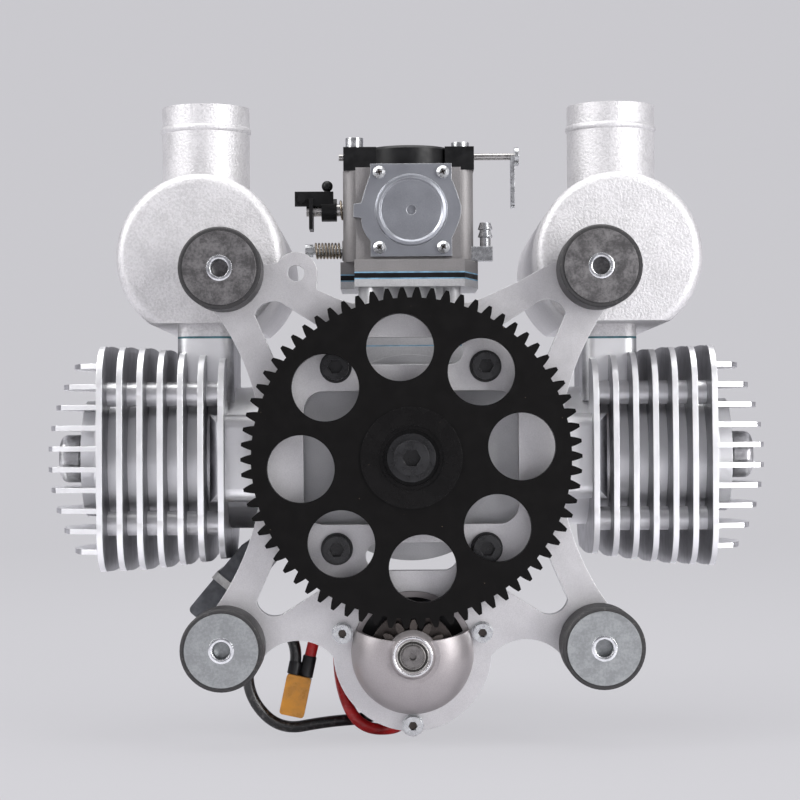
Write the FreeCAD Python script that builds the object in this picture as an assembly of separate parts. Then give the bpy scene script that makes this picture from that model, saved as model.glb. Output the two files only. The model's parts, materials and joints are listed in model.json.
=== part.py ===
import FreeCAD
import Part
import math
import os

# Flat twin two-stroke aircraft engine, seen from the firewall side along +Y.
# Millimetres. X to the right, Y forward to the propeller, Z up.
# The origin is on the crank axis, in the plane of the isolators' mounting faces.

V = FreeCAD.Vector

# Clearances
RUN = 0.05
GAP = 0.3
SEAT = 0.02
OVER = 1.0

# Isolators
ISO_HALF = 70.0
ISO_R = 15.25
ISO_LONG = 20.0
ISO_DISC_R = 13.6
ISO_DISC_T = 2.0
ISO_RAISE = 0.5
ISO_CHAMFER = 0.6
M8_CORE_R = 3.4
M8_DEPTH = 8.0
STUD_R = 4.0
M8_FLOOR = 1.5
INSERT_R = 5.6
STUD_HEAD_R = 6.5
STUD_HEAD_T = 3.0
STUD_PLAY = 0.2
STUD_LONG = 8.0
NUT_AF = 13.0
NUT_T = 6.5

# Mount plate
PLATE_T = 5.0
PAD_R = 14.5
SIDE_ARC_R = 95.0
SIDE_ARC_X = 150.5
BOTTOM_ARC_R = 17.0
BOTTOM_ARC_X = 42.7
BOTTOM_ARC_Z = -85.2
PLATE_TOP = 58.0
ARM_END = 8.0
ARM_SIDE_Z = 57.0
TOP_EDGE = ((56.0, 73.8), (48.0, 69.8), (40.2, 65.5), (27.8, 59.9), (22.0, PLATE_TOP))
WIN_HALF_X = 40.3
WIN_HALF_Z = 25.0
WIN_R = 7.5
TOP_SLOT = (39.7, 10.3)
TOP_SLOT_Z = 40.0
LOW_SLOT = (34.5, 10.5)
LOW_SLOT_Z = -37.0
LUG_X = -42.7
LUG_Z = 69.4
LUG_R = 7.9
LUG_HOLE_R = 3.1
LUG_ROOT = ((LUG_X - LUG_R * 0.8, LUG_Z + LUG_R * 0.5), (-58.0, 72.0), (-45.0, PLATE_TOP), (-28.0, PLATE_TOP),
            (-30.3, 59.3), (-33.6, 61.0, LUG_X + LUG_R, LUG_Z - 3.0), (LUG_X + LUG_R, LUG_Z))
LOBE_R = 29.6
LOBE_HOLE_R = 22.75
EAR_R = 4.5
ARM_WINDOW_INNER_R = 57.0
ARM_WINDOW_LOW_X = 31.4
ARM_WINDOW_HIGH_X = 48.2
ARM_WINDOW_TIP = (46.9, 57.4, 54.8, 58.2, 58.3, 53.5)

# Plate screws into the crankcase posts
POST_X = 28.0
POST_Z = 34.0
POST_R = 7.5
M6_R = 3.0
M6_HOLE_R = 3.3
M6_HEAD_R = 5.0
M6_HEAD_H = 6.0
M6_WASHER_R = 6.0
M6_WASHER_T = 1.6
M6_HEX_AF = 5.0
M6_LONG = 18.0

# Starter gear and pinion
MODULE = 1.75
GEAR_TEETH = 70
PINION_TEETH = 13
PRESSURE = math.radians(20.0)
BACKLASH = 0.30
GEAR_Y = 6.0
GEAR_T = 5.0
GEAR_HOLE_R = 12.5
GEAR_HOLE_PCD = 82.0
GEAR_HOLES = 8
GEAR_HOLE_TURN = 5.5
GEAR_TURN = 0.3
HUB_RING_R = 18.7
HUB_RING_T = 0.8
HUB_LIP = 1.5
GEAR_HUB_T = 3.0
COUNTERBORE_R = 10.5
COUNTERBORE_T = 2.0
GEAR_WASHER_R = 9.0
GEAR_WASHER_T = 1.4
GEAR_BOLT_HEAD_R = 6.5
GEAR_BOLT_HEAD_H = 8.0
GEAR_BOLT_R = 4.0
GEAR_BOLT_LONG = 30.0
GEAR_BOLT_HEX_AF = 6.0
PINION_T = 6.2
PINION_Y = 6.2
CLUTCH_R = 15.8
CLUTCH_T = 5.5
CLUTCH_GAP = 0.2
CLUTCH_DRUM_R = 13.8

# Starter nose
NOSE_WALL = 2.2
NOSE_BOSS_R = 7.6
NOSE_FLARE_R = 10.1
NOSE_R = 22.6
NOSE_FLANGE_R = 28.5
NOSE_FLANGE_T = 6.0
NOSE_REAR_Y = 1.0
NOSE_CUT_R = 67.5
NOSE_BOSS_RISE = 2.0
NOSE_BOSS_EDGE = 0.7
NOSE_CROWN_T = 4.4
NOSE_SHOULDER = (3.4, 7.8)
NOSE_HOLLOW_FLARE = 3.4
NOSE_SHAFT_PLAY = 0.6
NOSE_SCREW_SHORT = 0.5
SMALL_BEARING_R = 6.0
SMALL_BEARING_T = 3.5
STARTER_SHAFT_R = 4.0
NOSE_SCREW_PCR = 27.1
NOSE_SCREW_ANGLES = (15.5, 164.5, 270.0)
M4_R = 2.0
M4_HOLE_R = 2.2
M4_HEAD_R = 3.5
M4_HEAD_H = 4.0
M4_WASHER_R = 4.0
M4_WASHER_T = 0.8
M4_HEX_AF = 3.0

# Starter motor
GEARBOX_R = 23.0
GEARBOX_LONG = 16.0
MOTOR_R = 21.0
MOTOR_LONG = 52.0
MOTOR_WALL = 1.6
BELL_LONG = 7.0
BELL_CHAMFER = 2.0
GEARBOX_BORE_PLAY = 1.0
GEARBOX_END_T = 3.0
ROTOR_R = 17.5
ROTOR_CLEAR = 7.0
AXLE_STANDS = 0.5
AXLE_CENTRE_R = 1.35
AXLE_CENTRE_DEEP = 2.0
GLAND_X = (-11.5, 1.5)
GLAND_EDGE = 3.5

# Crankcase
CASE_REAR = 30.0
CASE_FRONT = 109.0
SPLIT_Y = 68.75
CASE_GASKET = 0.5
CASE_SCREW_GRIP = 14.0
CASE_R = 39.0
PAD_STEP = 2.0
PAD_HALF = 30.0
TOP_STEP = 3.6
TOP_HALF_X = 24.0
TOP_HALF_Y = 25.0
CHAMBER_PLAY = 2.5
CHAMBER_WALL_REAR = 44.0
CHAMBER_WALL_FRONT = 93.5
CASE_BOSS_R = 19.0
CASE_BOSS_Y = 26.5
CASE_NOSE_R0 = 32.0
CASE_NOSE_R1 = 25.0
CASE_NOSE_Y = 150.0
CASE_RIB_T = 3.0

# Crankshaft
STROKE = 34.0
ROD_LONG = 68.0
JOURNAL_R = 8.5
BEARING_R = 20.0
BEARING_T = 12.0
SEAL_R = 15.0
SEAL_T = 3.5
WEB_R = 28.0
WEB_T = 8.0
WEB_FLAT = (4.0, 14.0)
PIN_R = 8.0
BIG_END_R = 13.0
BIG_END_W = 11.5

# Pistons
BORE_R = 23.5
PISTON_GAP = 0.06
PISTON_CROWN = 20.0
PISTON_SKIRT = 20.0
PISTON_WALL = 2.5
WRIST_R = 5.5
WRIST_HOLE_R = 3.2
SMALL_END_R = 9.0
SMALL_END_W = 10.0
SHANK_T = 6.0
SHANK_W = 9.0
RING_T = 1.5

# Cylinders
LEFT_Y = 58.5
RIGHT_Y = 79.0
BASE_GASKET = 0.6
BASE_T = 7.0
BARREL_R = 27.5
COLUMN_AT = 24.5
COLUMN_R = 4.6
FIN_FIRST = 71.0
FIN_PITCH = 7.55
FIN_COUNT = 7
FIN_T = 2.2
FIN_HALF = 43.5
FIN_HALF_INNER = (38.8, 40.0, 41.0, 42.0, 42.8, 43.2, 43.5)
FIN_CORNER = 19.0
FIN_BOW = 0.9
DECK_X = 126.0
CHAMBER_TOP_X = 111.0
HEAD_FIN_COUNT = 10
HEAD_FIN_PITCH = 7.86
HEAD_FIN_T = 1.9
HEAD_TIP_X = 140.6
HEAD_TIP_R = 68.6
HEAD_FIN_HALF_Y = 37.0
PLUG_CLEAR_R = 11.0
BOSS_FACE = 36.0
BOSS_HALF_Z = 16.5
BOSS_X = (58.0, 76.0)
PORT_X = 78.3
PORT_HALF_X = 10.8
PORT_HALF_Y = 23.0
PORT_CORNER_R = 5.0
PORT_FACE_Z = 45.8
PORT_R = 9.5
CYL_SCREW_R = 2.5
CYL_SCREW_HEAD_R = 4.2
CYL_SCREW_HEAD_H = 5.0
CYL_SCREW_LONG = 16.0

# Spark plugs
PLUG_THREAD_R = 5.0
PLUG_SEAT_R = 7.0
PLUG_HEX_AF = 16.0
PLUG_CAP_R = 9.3
PLUG_CAP_X = (128.6, 136.6)

# Mufflers
MUFFLER_X = 80.2
MUFFLER_Z = 77.0
MUFFLER_R = 32.0
MUFFLER_Y = (34.0, 172.0)
MUFFLER_WALL = 2.0
MUFFLER_EDGE_R = 4.0
MUFFLER_FLAT_Z = 51.6
EXHAUST_GASKET = 0.8
STACK_Y = 68.0
STACK_R = 17.25
STACK_BORE_R = 15.3
STACK_TOP_Z = 138.0
STACK_BEAD_Z = 129.0
STACK_BEAD_R = 17.9
EXHAUST_SCREW_AT = 17.0
EXHAUST_SCREW_LONG = 13.0

# Intake and carburettor
CARB_Y = 68.0
MANIFOLD_HALF_X = 21.3
MANIFOLD_FRONT = 23.0
FLANGE_WING_X = 27.0
FLANGE_WING_BACK = 14.0
MANIFOLD_LONG = 23.2
FOOT_T = 5.0
FOOT_CORNER_R = 4.0
FLANGE_T = 2.9
GASKET_T = 0.5
INSULATOR_T = 1.9
CARB_FLANGE_T = 4.8
INTAKE_BORE_R = 13.0
NECK_HALF = 18.0
NECK_CORNER_R = 6.0
NECK_POST_R = 3.5
NECK_POST_IN = 1.5
NECK_RIB_T = 2.0
NECK_RIB_X = (-9.0, -3.0, 3.0, 9.0)
REED_HALF_X = 14.5
REED_HALF_Y = 16.5
REED_RIM_T = 3.5
REED_LONG = 11.1
REED_TIP_HALF_X = 2.0
REED_WALL = 3.5
REED_SEAT = SEAT
REED_PLAY = 0.5
BODY_X = (-25.9, 25.3)
BODY_HALF_Y = 21.0
BODY_LONG = 35.9
CARB_POST_R = 5.2
CARB_POST_IN = 1.0
CARB_POST_BACK = 6.0
CARB_POST_FRONT = 12.0
COVER_Y = 44.0
COVER_T = 2.6
COVER_X = 0.8
COVER_UP = 19.0
COVER_SHEET_T = 1.6
COVER_EDGE = 3.4
COVER_LUG = 3.6
COVER_STEP = 3.0
COVER_RIM_T = 4.0
COVER_RIM_IN = 1.5
COVER_SCREW_R = 1.5
PAN_R = 2.6
PAN_H = 2.0
VENT_R = 1.85
VENT_FLOOR = 0.8
COVER_SCREW_HALF_X = 12.3
COVER_SCREW_HALF_Z = 14.55
COVER_RING_R = 14.0
CHOKE_T = 9.1
HORN_R = 17.0
HORN_CHAMFER = 1.0
HORN_LIP = 1.4
HORN_FLARE_H = 4.0
CHOKE_BLOCK_X = (12.7, 25.6)
CHOKE_FACE = 11.3
CHOKE_BACK = 16.0
CHOKE_NOTCH = 1.5
CARB_SCREW_X = (-21.3, 20.3)
CARB_SCREW_BACK = 6.0
CARB_SCREW_HEAD_H = 4.0
RIGHT_SCREW_SUNK = 2.0
HEAD_PLAY = 0.4

# Carburettor controls
THROTTLE_UP = 21.3
THROTTLE_SHAFT_X0 = -40.5
THROTTLE_PLATE_T = 1.0
THROTTLE_PLATE_PLAY = 0.4
THROTTLE_REST_DEG = 12.0
THROTTLE_SHAFT_R = 2.5
THROTTLE_ARM_X = (-45.0, -29.8)
THROTTLE_ARM_H = 5.8
THROTTLE_ARM_T = 4.0
THROTTLE_ARM_UP = 4.2
STOP_ARM_X = (-39.3, -37.8)
STOP_ARM_Y = (7.0, 6.0)
STOP_ARM_DROP = 8.0
SPRING_DRUM_R = 4.5
SPRING_DRUM_X = (-34.5, -28.5)
BALL_R = 2.2
BALL_X = -32.2
BALL_STEM_R = 1.2
ARM_SCREW_R = 1.7
ARM_SCREW_H = 1.0
ARM_SCREW_X = -42.3
SHAFT_BOSS_R = 4.6
SPRING_SEAT_X = -22.8
SPRING_ROOM_R = 5.4
SPRING_PLAY = 0.3
RETURN_SPRING_X0 = -27.8
RETURN_SPRING_R = 3.6
RETURN_WIRE_R = 0.45
RETURN_SPRING_TURNS = 3
IDLE_SPRING_R = 2.9
IDLE_WIRE_R = 0.4
IDLE_SPRING_TURNS = 8
IDLE_UP = 5.2
IDLE_HEAD_R = 2.6
IDLE_HEAD_T = 3.0
IDLE_BOSS_R = 4.0
IDLE_BOSS_STANDS = 0.5
IDLE_SCREW_R = 1.6
IDLE_SCREW_X = (-41.0, -24.0)
CHOKE_UP = 6.3
CHOKE_ROD_STANDS = 2.0
CHOKE_PLATE_T = 0.8
CHOKE_PLATE_PLAY = 0.5
CHOKE_LEVER_W = 5.2
CHOKE_DISC_T = 1.6
CHOKE_ROD_R = 1.35
CHOKE_DISC_X = 42.0
CHOKE_DISC_R = 3.7
CHOKE_LEVER_LONG = 20.5
NIPPLE_X = 30.0
NIPPLE_UP = 3.1
NIPPLE_BACK = 6.0
NIPPLE_SIDE = 5.6
NIPPLE_TUBE_R = 2.1
NIPPLE_BARB_R = 2.9
NIPPLE_BORE_R = 1.2
NIPPLE_NECK = 4.0
NIPPLE_BARB_PITCH = 3.0

# Propeller side
HUB_Y = 156.0
HUB_R = 26.0
HUB_LONG = 24.0
HUB_NECK_R = 17.0
HUB_CHAMFER = 2.0
HUB_TAPER_LONG = 8.0
SHAFT_END_SET_BACK = 4.0
SPINNER_HOLE_R = 4.0
PROP_PLATE_T = 6.0
PROP_PLATE_CHAMFER = 1.0
PROP_BOLT_PCD = 36.0
PROP_BOLT_COUNT = 6
PROP_BOLT_R = 2.5
PROP_BOLT_HEAD_R = 4.2
PROP_BOLT_HEAD_H = 5.0
PROP_BOLT_LONG = 18.0
PROP_BOLT_HEX_AF = 4.0
PROP_BOLT_TIP = 2.0

# Ignition module: long side, short side and depth, at its middle and turn in the XZ plane
MODULE_LONG = 34.0
MODULE_SHORT = 14.0
MODULE_DEPTH = 60.0
MODULE_AT = (-69.17, -49.25)
MODULE_TURN = 50.0
MODULE_REAR = 36.0
STRAP_T = 0.8
STRAP_W = 3.0

# Starter leads: corners of their routes, and the connector that both end in
LEAD_R = 2.2
LEAD_STRAIGHT = 16.0
ARC_SHARE = 0.45
RED_EXIT_X = -2.0
RED_TAIL = 19.0
RED_ROUTE = ((-2.5, 64.0, -99.0), (-4.0, 46.0, -104.9), (-21.0, 38.0, -103.5), (-28.5, 44.0, -86.0),
             (-28.0, 54.0, -66.0), (-32.5, 45.5, -58.5))
BLACK_EXIT_X = -8.0
BLACK_TAIL = 12.0
BLACK_ROUTE = ((-9.5, 64.0, -98.5), (-16.0, 50.0, -101.0), (-33.0, 45.0, -101.5), (-51.0, 42.5, -104.5),
               (-63.0, 40.0, -91.0), (-62.5, 39.0, -74.0), (-53.5, 38.0, -62.5))
CONNECTOR_AT = (-44.5, 37.0, -90.4)
CONNECTOR_TURN = -102.0
CONNECTOR_LONG = 15.5
CONNECTOR_WIDE = 9.4
CONNECTOR_T = 8.0
CONNECTOR_CORNER_R = 1.2
CONNECTOR_PITCH = 4.7

# Derived places
plate_rear = ISO_LONG
plate_front = plate_rear + PLATE_T
starter_z = -MODULE * (GEAR_TEETH + PINION_TEETH) / 2.0
gear_front = GEAR_Y + GEAR_T
hub_front = gear_front + GEAR_HUB_T
gear_bolt_seat = GEAR_Y + COUNTERBORE_T - GEAR_WASHER_T
crank_throw = STROKE / 2.0
chamber_r = WEB_R + CHAMBER_PLAY
pin_width = RIGHT_Y - LEFT_Y - WEB_T
rear_web_y = LEFT_Y - pin_width / 2.0 - WEB_T
mid_web_y = LEFT_Y + pin_width / 2.0
front_web_y = RIGHT_Y + pin_width / 2.0
wrist_x = crank_throw + ROD_LONG
pad_face_x = CASE_R + PAD_STEP
top_face_z = CASE_R + TOP_STEP
reed_tip_z = top_face_z - REED_LONG
cyl_base_x = pad_face_x + BASE_GASKET
nose_flange_rear = plate_front
nose_flange_front = plate_front + NOSE_FLANGE_T
gearbox_front = nose_flange_front + GEARBOX_LONG
motor_front = gearbox_front + MOTOR_LONG
bell_front = motor_front + BELL_LONG
lead_exit_z = starter_z - MOTOR_R - LEAD_R - 2.5 * GAP
manifold_z = top_face_z + MANIFOLD_LONG
insulator_z = manifold_z + FLANGE_T + GASKET_T
carb_flange_z = insulator_z + INSULATOR_T + GASKET_T
carb_body_z = carb_flange_z + CARB_FLANGE_T
carb_screw_y = CARB_Y - CARB_SCREW_BACK
body_top_z = carb_body_z + BODY_LONG
cover_z = carb_body_z + COVER_UP
throttle_z = carb_body_z + THROTTLE_UP
idle_z = carb_body_z + IDLE_UP
nipple_z = carb_body_z + NIPPLE_UP
choke_z = body_top_z + CHOKE_UP
choke_top_z = body_top_z + CHOKE_T
cover_front = COVER_Y + COVER_T

nodes = {}


def rod_y(r, y0, y1, x=0.0, z=0.0):
    return Part.makeCylinder(r, y1 - y0, V(x, y0, z), V(0, 1, 0))


def rod_x(r, x0, x1, y, z):
    return Part.makeCylinder(r, x1 - x0, V(x0, y, z), V(1, 0, 0))


def rod_z(r, z0, z1, x, y):
    return Part.makeCylinder(r, z1 - z0, V(x, y, z0), V(0, 0, 1))


def block(x0, x1, y0, y1, z0, z1):
    return Part.makeBox(x1 - x0, y1 - y0, z1 - z0, V(x0, y0, z0))


def ring_y(r_out, r_in, y0, y1, x=0.0, z=0.0):
    return rod_y(r_out, y0, y1, x, z).cut(rod_y(r_in, y0 - 1.0, y1 + 1.0, x, z))


def closed_wire(path, place):
    """Closed wire. A pair is a corner; four numbers are an arc's middle and end."""
    edges = []
    last = path[-1][-2:]
    for entry in path:
        end = entry[-2:]
        if len(entry) == 4:
            edges.append(Part.Arc(place(*last), place(*entry[:2]), place(*end)).toShape())
        else:
            edges.append(Part.LineSegment(place(*last), place(*end)).toShape())
        last = end
    return Part.Wire(edges)


def slab_y(path, y0, y1):
    face = Part.Face(closed_wire(path, lambda a, b: V(a, y0, b)))
    return face.extrude(V(0, y1 - y0, 0))


def slab_z(path, z0, z1):
    face = Part.Face(closed_wire(path, lambda a, b: V(a, b, z0)))
    return face.extrude(V(0, 0, z1 - z0))


def slab_x(path, x0, x1):
    face = Part.Face(closed_wire(path, lambda a, b: V(x0, a, b)))
    return face.extrude(V(x1 - x0, 0, 0))


def turned_y(path, x=0.0, z=0.0):
    """Solid of revolution about a line along Y; the path holds radius and y."""
    face = Part.Face(closed_wire(path, lambda r, y: V(x + r, y, z)))
    return face.revolve(V(x, 0, z), V(0, 1, 0), 360)


def turned_z(path, x, y):
    """Solid of revolution about a line along Z; the path holds radius and z."""
    face = Part.Face(closed_wire(path, lambda r, z: V(x + r, y, z)))
    return face.revolve(V(x, y, 0), V(0, 0, 1), 360)


def turned_x(path, y, z):
    """Solid of revolution about a line along X; the path holds radius and x."""
    face = Part.Face(closed_wire(path, lambda r, x: V(x, y + r, z)))
    return face.revolve(V(0, y, z), V(1, 0, 0), 360)


def rounded(w, h, r, cx=0.0, cy=0.0):
    """Path of a rectangle with round corners."""
    a = w / 2.0
    b = h / 2.0
    k = r * (1.0 - math.sqrt(0.5))
    return [
        (cx + a - r, cy - b), (cx + a - k, cy - b + k, cx + a, cy - b + r),
        (cx + a, cy + b - r), (cx + a - k, cy + b - k, cx + a - r, cy + b),
        (cx - a + r, cy + b), (cx - a + k, cy + b - k, cx - a, cy + b - r),
        (cx - a, cy - b + r), (cx - a + k, cy - b + k, cx - a + r, cy - b),
    ]


def slot_path(size, cz):
    """Path of a slot with round ends, level at height cz."""
    a = size[0] / 2.0
    b = size[1] / 2.0
    return [(a - b, cz - b), (a, cz, a - b, cz + b), (b - a, cz + b), (-a, cz, b - a, cz - b)]


def hexagon(flats, cx=0.0, cy=0.0, turn=0.0):
    r = flats / math.sqrt(3.0)
    return [(cx + r * math.cos(math.radians(60 * k + turn)),
             cy + r * math.sin(math.radians(60 * k + turn))) for k in range(6)]


def fuse(shapes):
    whole = shapes[0].multiFuse(shapes[1:]) if len(shapes) > 1 else shapes[0]
    return whole.removeSplitter()


def mirrored(shape):
    return shape.mirror(V(0, 0, 0), V(1, 0, 0))


def along(shape, direction, at):
    """Move a shape that stands on the origin along +Z to a place and a direction."""
    turn = FreeCAD.Rotation(V(0, 0, 1), direction)
    moved = shape.copy()
    moved.Placement = FreeCAD.Placement(at, turn).multiply(moved.Placement)
    return moved


def cap_screw(r, head_r, head_h, length, hex_af, washer_r=0.0, washer_t=0.0):
    """Socket screw along +Z: its seat at zero, shank below, head above, washer under the head."""
    shank = Part.makeCylinder(r, length, V(0, 0, -length))
    head = Part.makeCylinder(head_r, head_h, V(0, 0, washer_t))
    socket = Part.Face(closed_wire(hexagon(hex_af), lambda a, b: V(a, b, head_h + washer_t)))
    head = head.cut(socket.extrude(V(0, 0, -head_h * 0.55)))
    parts = [shank, head]
    if washer_t > 0:
        parts.append(Part.makeCylinder(washer_r, washer_t))
    return fuse(parts)


def add(name, shapes):
    """Keep a node: one solid, or a group of separate solids."""
    if not isinstance(shapes, list):
        shapes = [shapes]
    solids = []
    for shape in shapes:
        solids.extend(shape.Solids)
    nodes[name] = Part.makeCompound(solids) if len(solids) > 1 else solids[0]


# Spur gear with involute flanks
def gear_solid(teeth, thickness, backlash, turn_deg):
    pitch = MODULE * teeth / 2.0
    base = pitch * math.cos(PRESSURE)
    tip = pitch + MODULE
    root = pitch - 1.2 * MODULE
    inv = math.tan(PRESSURE) - PRESSURE
    half_pitch = math.pi / (2.0 * teeth) - backlash / (4.0 * pitch)

    def flank_angle(radius):
        if radius <= base:
            return half_pitch + inv
        a = math.acos(base / radius)
        return half_pitch + inv - (math.tan(a) - a)

    radii = [max(base, root) + (tip - max(base, root)) * k / 3.0 for k in range(4)]
    if root < base:
        radii.insert(0, root)
    points = []
    for tooth in range(teeth):
        middle = math.radians(turn_deg) + 2.0 * math.pi * tooth / teeth
        for radius in radii:
            a = middle - flank_angle(radius)
            points.append(V(radius * math.cos(a), 0, radius * math.sin(a)))
        for radius in reversed(radii):
            a = middle + flank_angle(radius)
            points.append(V(radius * math.cos(a), 0, radius * math.sin(a)))
    points.append(points[0])
    return Part.Face(Part.makePolygon(points)).extrude(V(0, thickness, 0))


# Isolators
def isolators():
    rubbers = []
    discs = []
    studs = []
    nuts = []
    for sx in (-1, 1):
        for sz in (-1, 1):
            x = sx * ISO_HALF
            z = sz * ISO_HALF
            rubber = turned_y([
                (0, ISO_RAISE), (ISO_R - ISO_CHAMFER, ISO_RAISE), (ISO_R, ISO_RAISE + ISO_CHAMFER),
                (ISO_R, ISO_LONG - ISO_CHAMFER), (ISO_R - ISO_CHAMFER, ISO_LONG), (0, ISO_LONG)], x, z)
            disc = rod_y(ISO_DISC_R, 0, ISO_RAISE + ISO_DISC_T, x, z)
            insert = disc.fuse(rod_y(INSERT_R, ISO_RAISE, M8_DEPTH, x, z)).removeSplitter()
            stud_head = rod_y(STUD_HEAD_R, ISO_LONG - STUD_HEAD_T, ISO_LONG, x, z)
            rubbers.append(rubber.cut(insert).cut(stud_head))
            discs.append(insert.cut(rod_y(M8_CORE_R, -OVER, M8_DEPTH - M8_FLOOR, x, z)))
            studs.append(fuse([stud_head, rod_y(STUD_R, ISO_LONG, plate_front + STUD_LONG, x, z)]))
            nut = slab_y(hexagon(NUT_AF, x, z), plate_front, plate_front + NUT_T)
            nuts.append(nut.cut(rod_y(STUD_R, plate_front - OVER, plate_front + NUT_T + OVER, x, z)))
    add("isolator_rubbers", rubbers)
    add("isolator_discs", discs)
    add("isolator_studs", studs + nuts)


# Mount plate
def arm_window():
    """Opening in the upper right arm: its inner edge follows the rim of the gear."""
    inner = ARM_WINDOW_INNER_R
    low = (ARM_WINDOW_LOW_X, math.sqrt(inner ** 2 - ARM_WINDOW_LOW_X ** 2))
    high = (ARM_WINDOW_HIGH_X, math.sqrt(inner ** 2 - ARM_WINDOW_HIGH_X ** 2))
    middle = inner * math.sqrt(0.5)
    return [ARM_WINDOW_TIP[:2], ARM_WINDOW_TIP[2:], high, (middle, middle, low[0], low[1])]


def starter_screw_places():
    return [(NOSE_SCREW_PCR * math.cos(math.radians(a)),
             starter_z + NOSE_SCREW_PCR * math.sin(math.radians(a))) for a in NOSE_SCREW_ANGLES]


def mount_plate():
    y0 = plate_rear
    y1 = plate_front
    p = ISO_HALF
    half = [(p, -p - ARM_END), (p + ARM_END, -ARM_SIDE_Z), (p + ARM_END, ARM_SIDE_Z), (p, p)] + list(TOP_EDGE)
    plate = slab_y(half + [(-x, z) for x, z in reversed(half)], y0, y1)
    for sx in (-1, 1):
        plate = plate.cut(rod_y(SIDE_ARC_R, y0 - OVER, y1 + OVER, sx * SIDE_ARC_X, 0))
        plate = plate.cut(rod_y(BOTTOM_ARC_R, y0 - OVER, y1 + OVER, sx * BOTTOM_ARC_X, BOTTOM_ARC_Z))
    pads = [rod_y(PAD_R, y0, y1, sx * p, sz * p) for sx in (-1, 1) for sz in (-1, 1)]
    lobe = rod_y(LOBE_R, y0, y1, 0, starter_z)
    ear = rod_y(EAR_R, y0, y1, 0, starter_screw_places()[2][1])
    lug = rod_y(LUG_R, y0, y1, LUG_X, LUG_Z)
    lug_root = slab_y(LUG_ROOT, y0, y1)
    plate = fuse([plate, lobe, ear, lug, lug_root] + pads)
    cuts = [slab_y(rounded(2 * WIN_HALF_X, 2 * WIN_HALF_Z, WIN_R), y0 - OVER, y1 + OVER),
            slab_y(slot_path(TOP_SLOT, TOP_SLOT_Z), y0 - OVER, y1 + OVER),
            slab_y(slot_path(LOW_SLOT, LOW_SLOT_Z), y0 - OVER, y1 + OVER),
            rod_y(LOBE_HOLE_R, y0 - OVER, y1 + OVER, 0, starter_z),
            rod_y(LUG_HOLE_R, y0 - OVER, y1 + OVER, LUG_X, LUG_Z)]
    window = slab_y(arm_window(), y0 - OVER, y1 + OVER)
    flipped = window.mirror(V(0, 0, 0), V(0, 0, 1))
    cuts += [window, mirrored(window), flipped, mirrored(flipped)]
    for sx in (-1, 1):
        for sz in (-1, 1):
            cuts.append(rod_y(M6_HOLE_R, y0 - OVER, y1 + OVER, sx * POST_X, sz * POST_Z))
            cuts.append(rod_y(STUD_R + STUD_PLAY, y0 - OVER, y1 + OVER, sx * p, sz * p))
    for x, z in starter_screw_places():
        cuts.append(rod_y(M4_HOLE_R, y0 - OVER, y1 + OVER, x, z))
    add("mount_plate", plate.cut(Part.makeCompound(cuts)).removeSplitter())


def plate_screws():
    screw = cap_screw(M6_R, M6_HEAD_R, M6_HEAD_H, M6_LONG, M6_HEX_AF, M6_WASHER_R, M6_WASHER_T)
    long_screw = cap_screw(M6_R, M6_HEAD_R, M6_HEAD_H, CASE_FRONT - SPLIT_Y + CASE_SCREW_GRIP, M6_HEX_AF)
    screws = []
    for sx in (-1, 1):
        for sz in (-1, 1):
            screws.append(along(screw, V(0, -1, 0), V(sx * POST_X, plate_rear, sz * POST_Z)))
            screws.append(along(long_screw, V(0, 1, 0), V(sx * POST_X, CASE_FRONT, sz * POST_Z)))
    add("plate_screws", screws)


# Starter gear on the crankshaft
def starter_gear():
    gear = gear_solid(GEAR_TEETH, GEAR_T, BACKLASH, GEAR_TURN)
    gear.translate(V(0, GEAR_Y, 0))
    gear = gear.fuse(rod_y(HUB_RING_R, gear_front, hub_front))
    for k in range(GEAR_HOLES):
        a = math.radians(90.0 + GEAR_HOLE_TURN + 360.0 * k / GEAR_HOLES)
        x = GEAR_HOLE_PCD / 2.0 * math.cos(a)
        z = GEAR_HOLE_PCD / 2.0 * math.sin(a)
        gear = gear.cut(rod_y(GEAR_HOLE_R, 0, plate_rear, x, z))
    gear = gear.fuse(ring_y(HUB_RING_R, COUNTERBORE_R + HUB_LIP, GEAR_Y - HUB_RING_T, GEAR_Y))
    gear = gear.cut(rod_y(COUNTERBORE_R, 0, GEAR_Y + COUNTERBORE_T))
    add("starter_gear", gear.cut(rod_y(GEAR_BOLT_R, 0, plate_rear)).removeSplitter())
    washer = ring_y(GEAR_WASHER_R, GEAR_BOLT_R, gear_bolt_seat, GEAR_Y + COUNTERBORE_T)
    bolt = cap_screw(GEAR_BOLT_R, GEAR_BOLT_HEAD_R, GEAR_BOLT_HEAD_H, GEAR_BOLT_LONG, GEAR_BOLT_HEX_AF)
    add("gear_bolt", [along(bolt, V(0, -1, 0), V(0, gear_bolt_seat, 0)), washer])


def pinion_turn():
    """Angle of a pinion tooth that leaves a gap opposite the lowest tooth of the gear."""
    step = 360.0 / GEAR_TEETH
    lowest = GEAR_TURN + step * round((270.0 - GEAR_TURN) / step)
    return 90.0 - (lowest - 270.0) * GEAR_TEETH / PINION_TEETH + 180.0 / PINION_TEETH


def pinion():
    gear = gear_solid(PINION_TEETH, PINION_T, BACKLASH, pinion_turn())
    gear.translate(V(0, PINION_Y, starter_z))
    shaft_hole = rod_y(STARTER_SHAFT_R, 0, motor_front, 0, starter_z)
    add("starter_pinion", gear.cut(shaft_hole))
    clutch_y = PINION_Y + PINION_T
    disc = rod_y(CLUTCH_R, clutch_y + CLUTCH_GAP, clutch_y + CLUTCH_T, 0, starter_z)
    drum = rod_y(CLUTCH_DRUM_R, clutch_y + CLUTCH_T, nose_flange_front, 0, starter_z)
    add("clutch_disc", fuse([disc, drum]).cut(shaft_hole))


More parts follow.
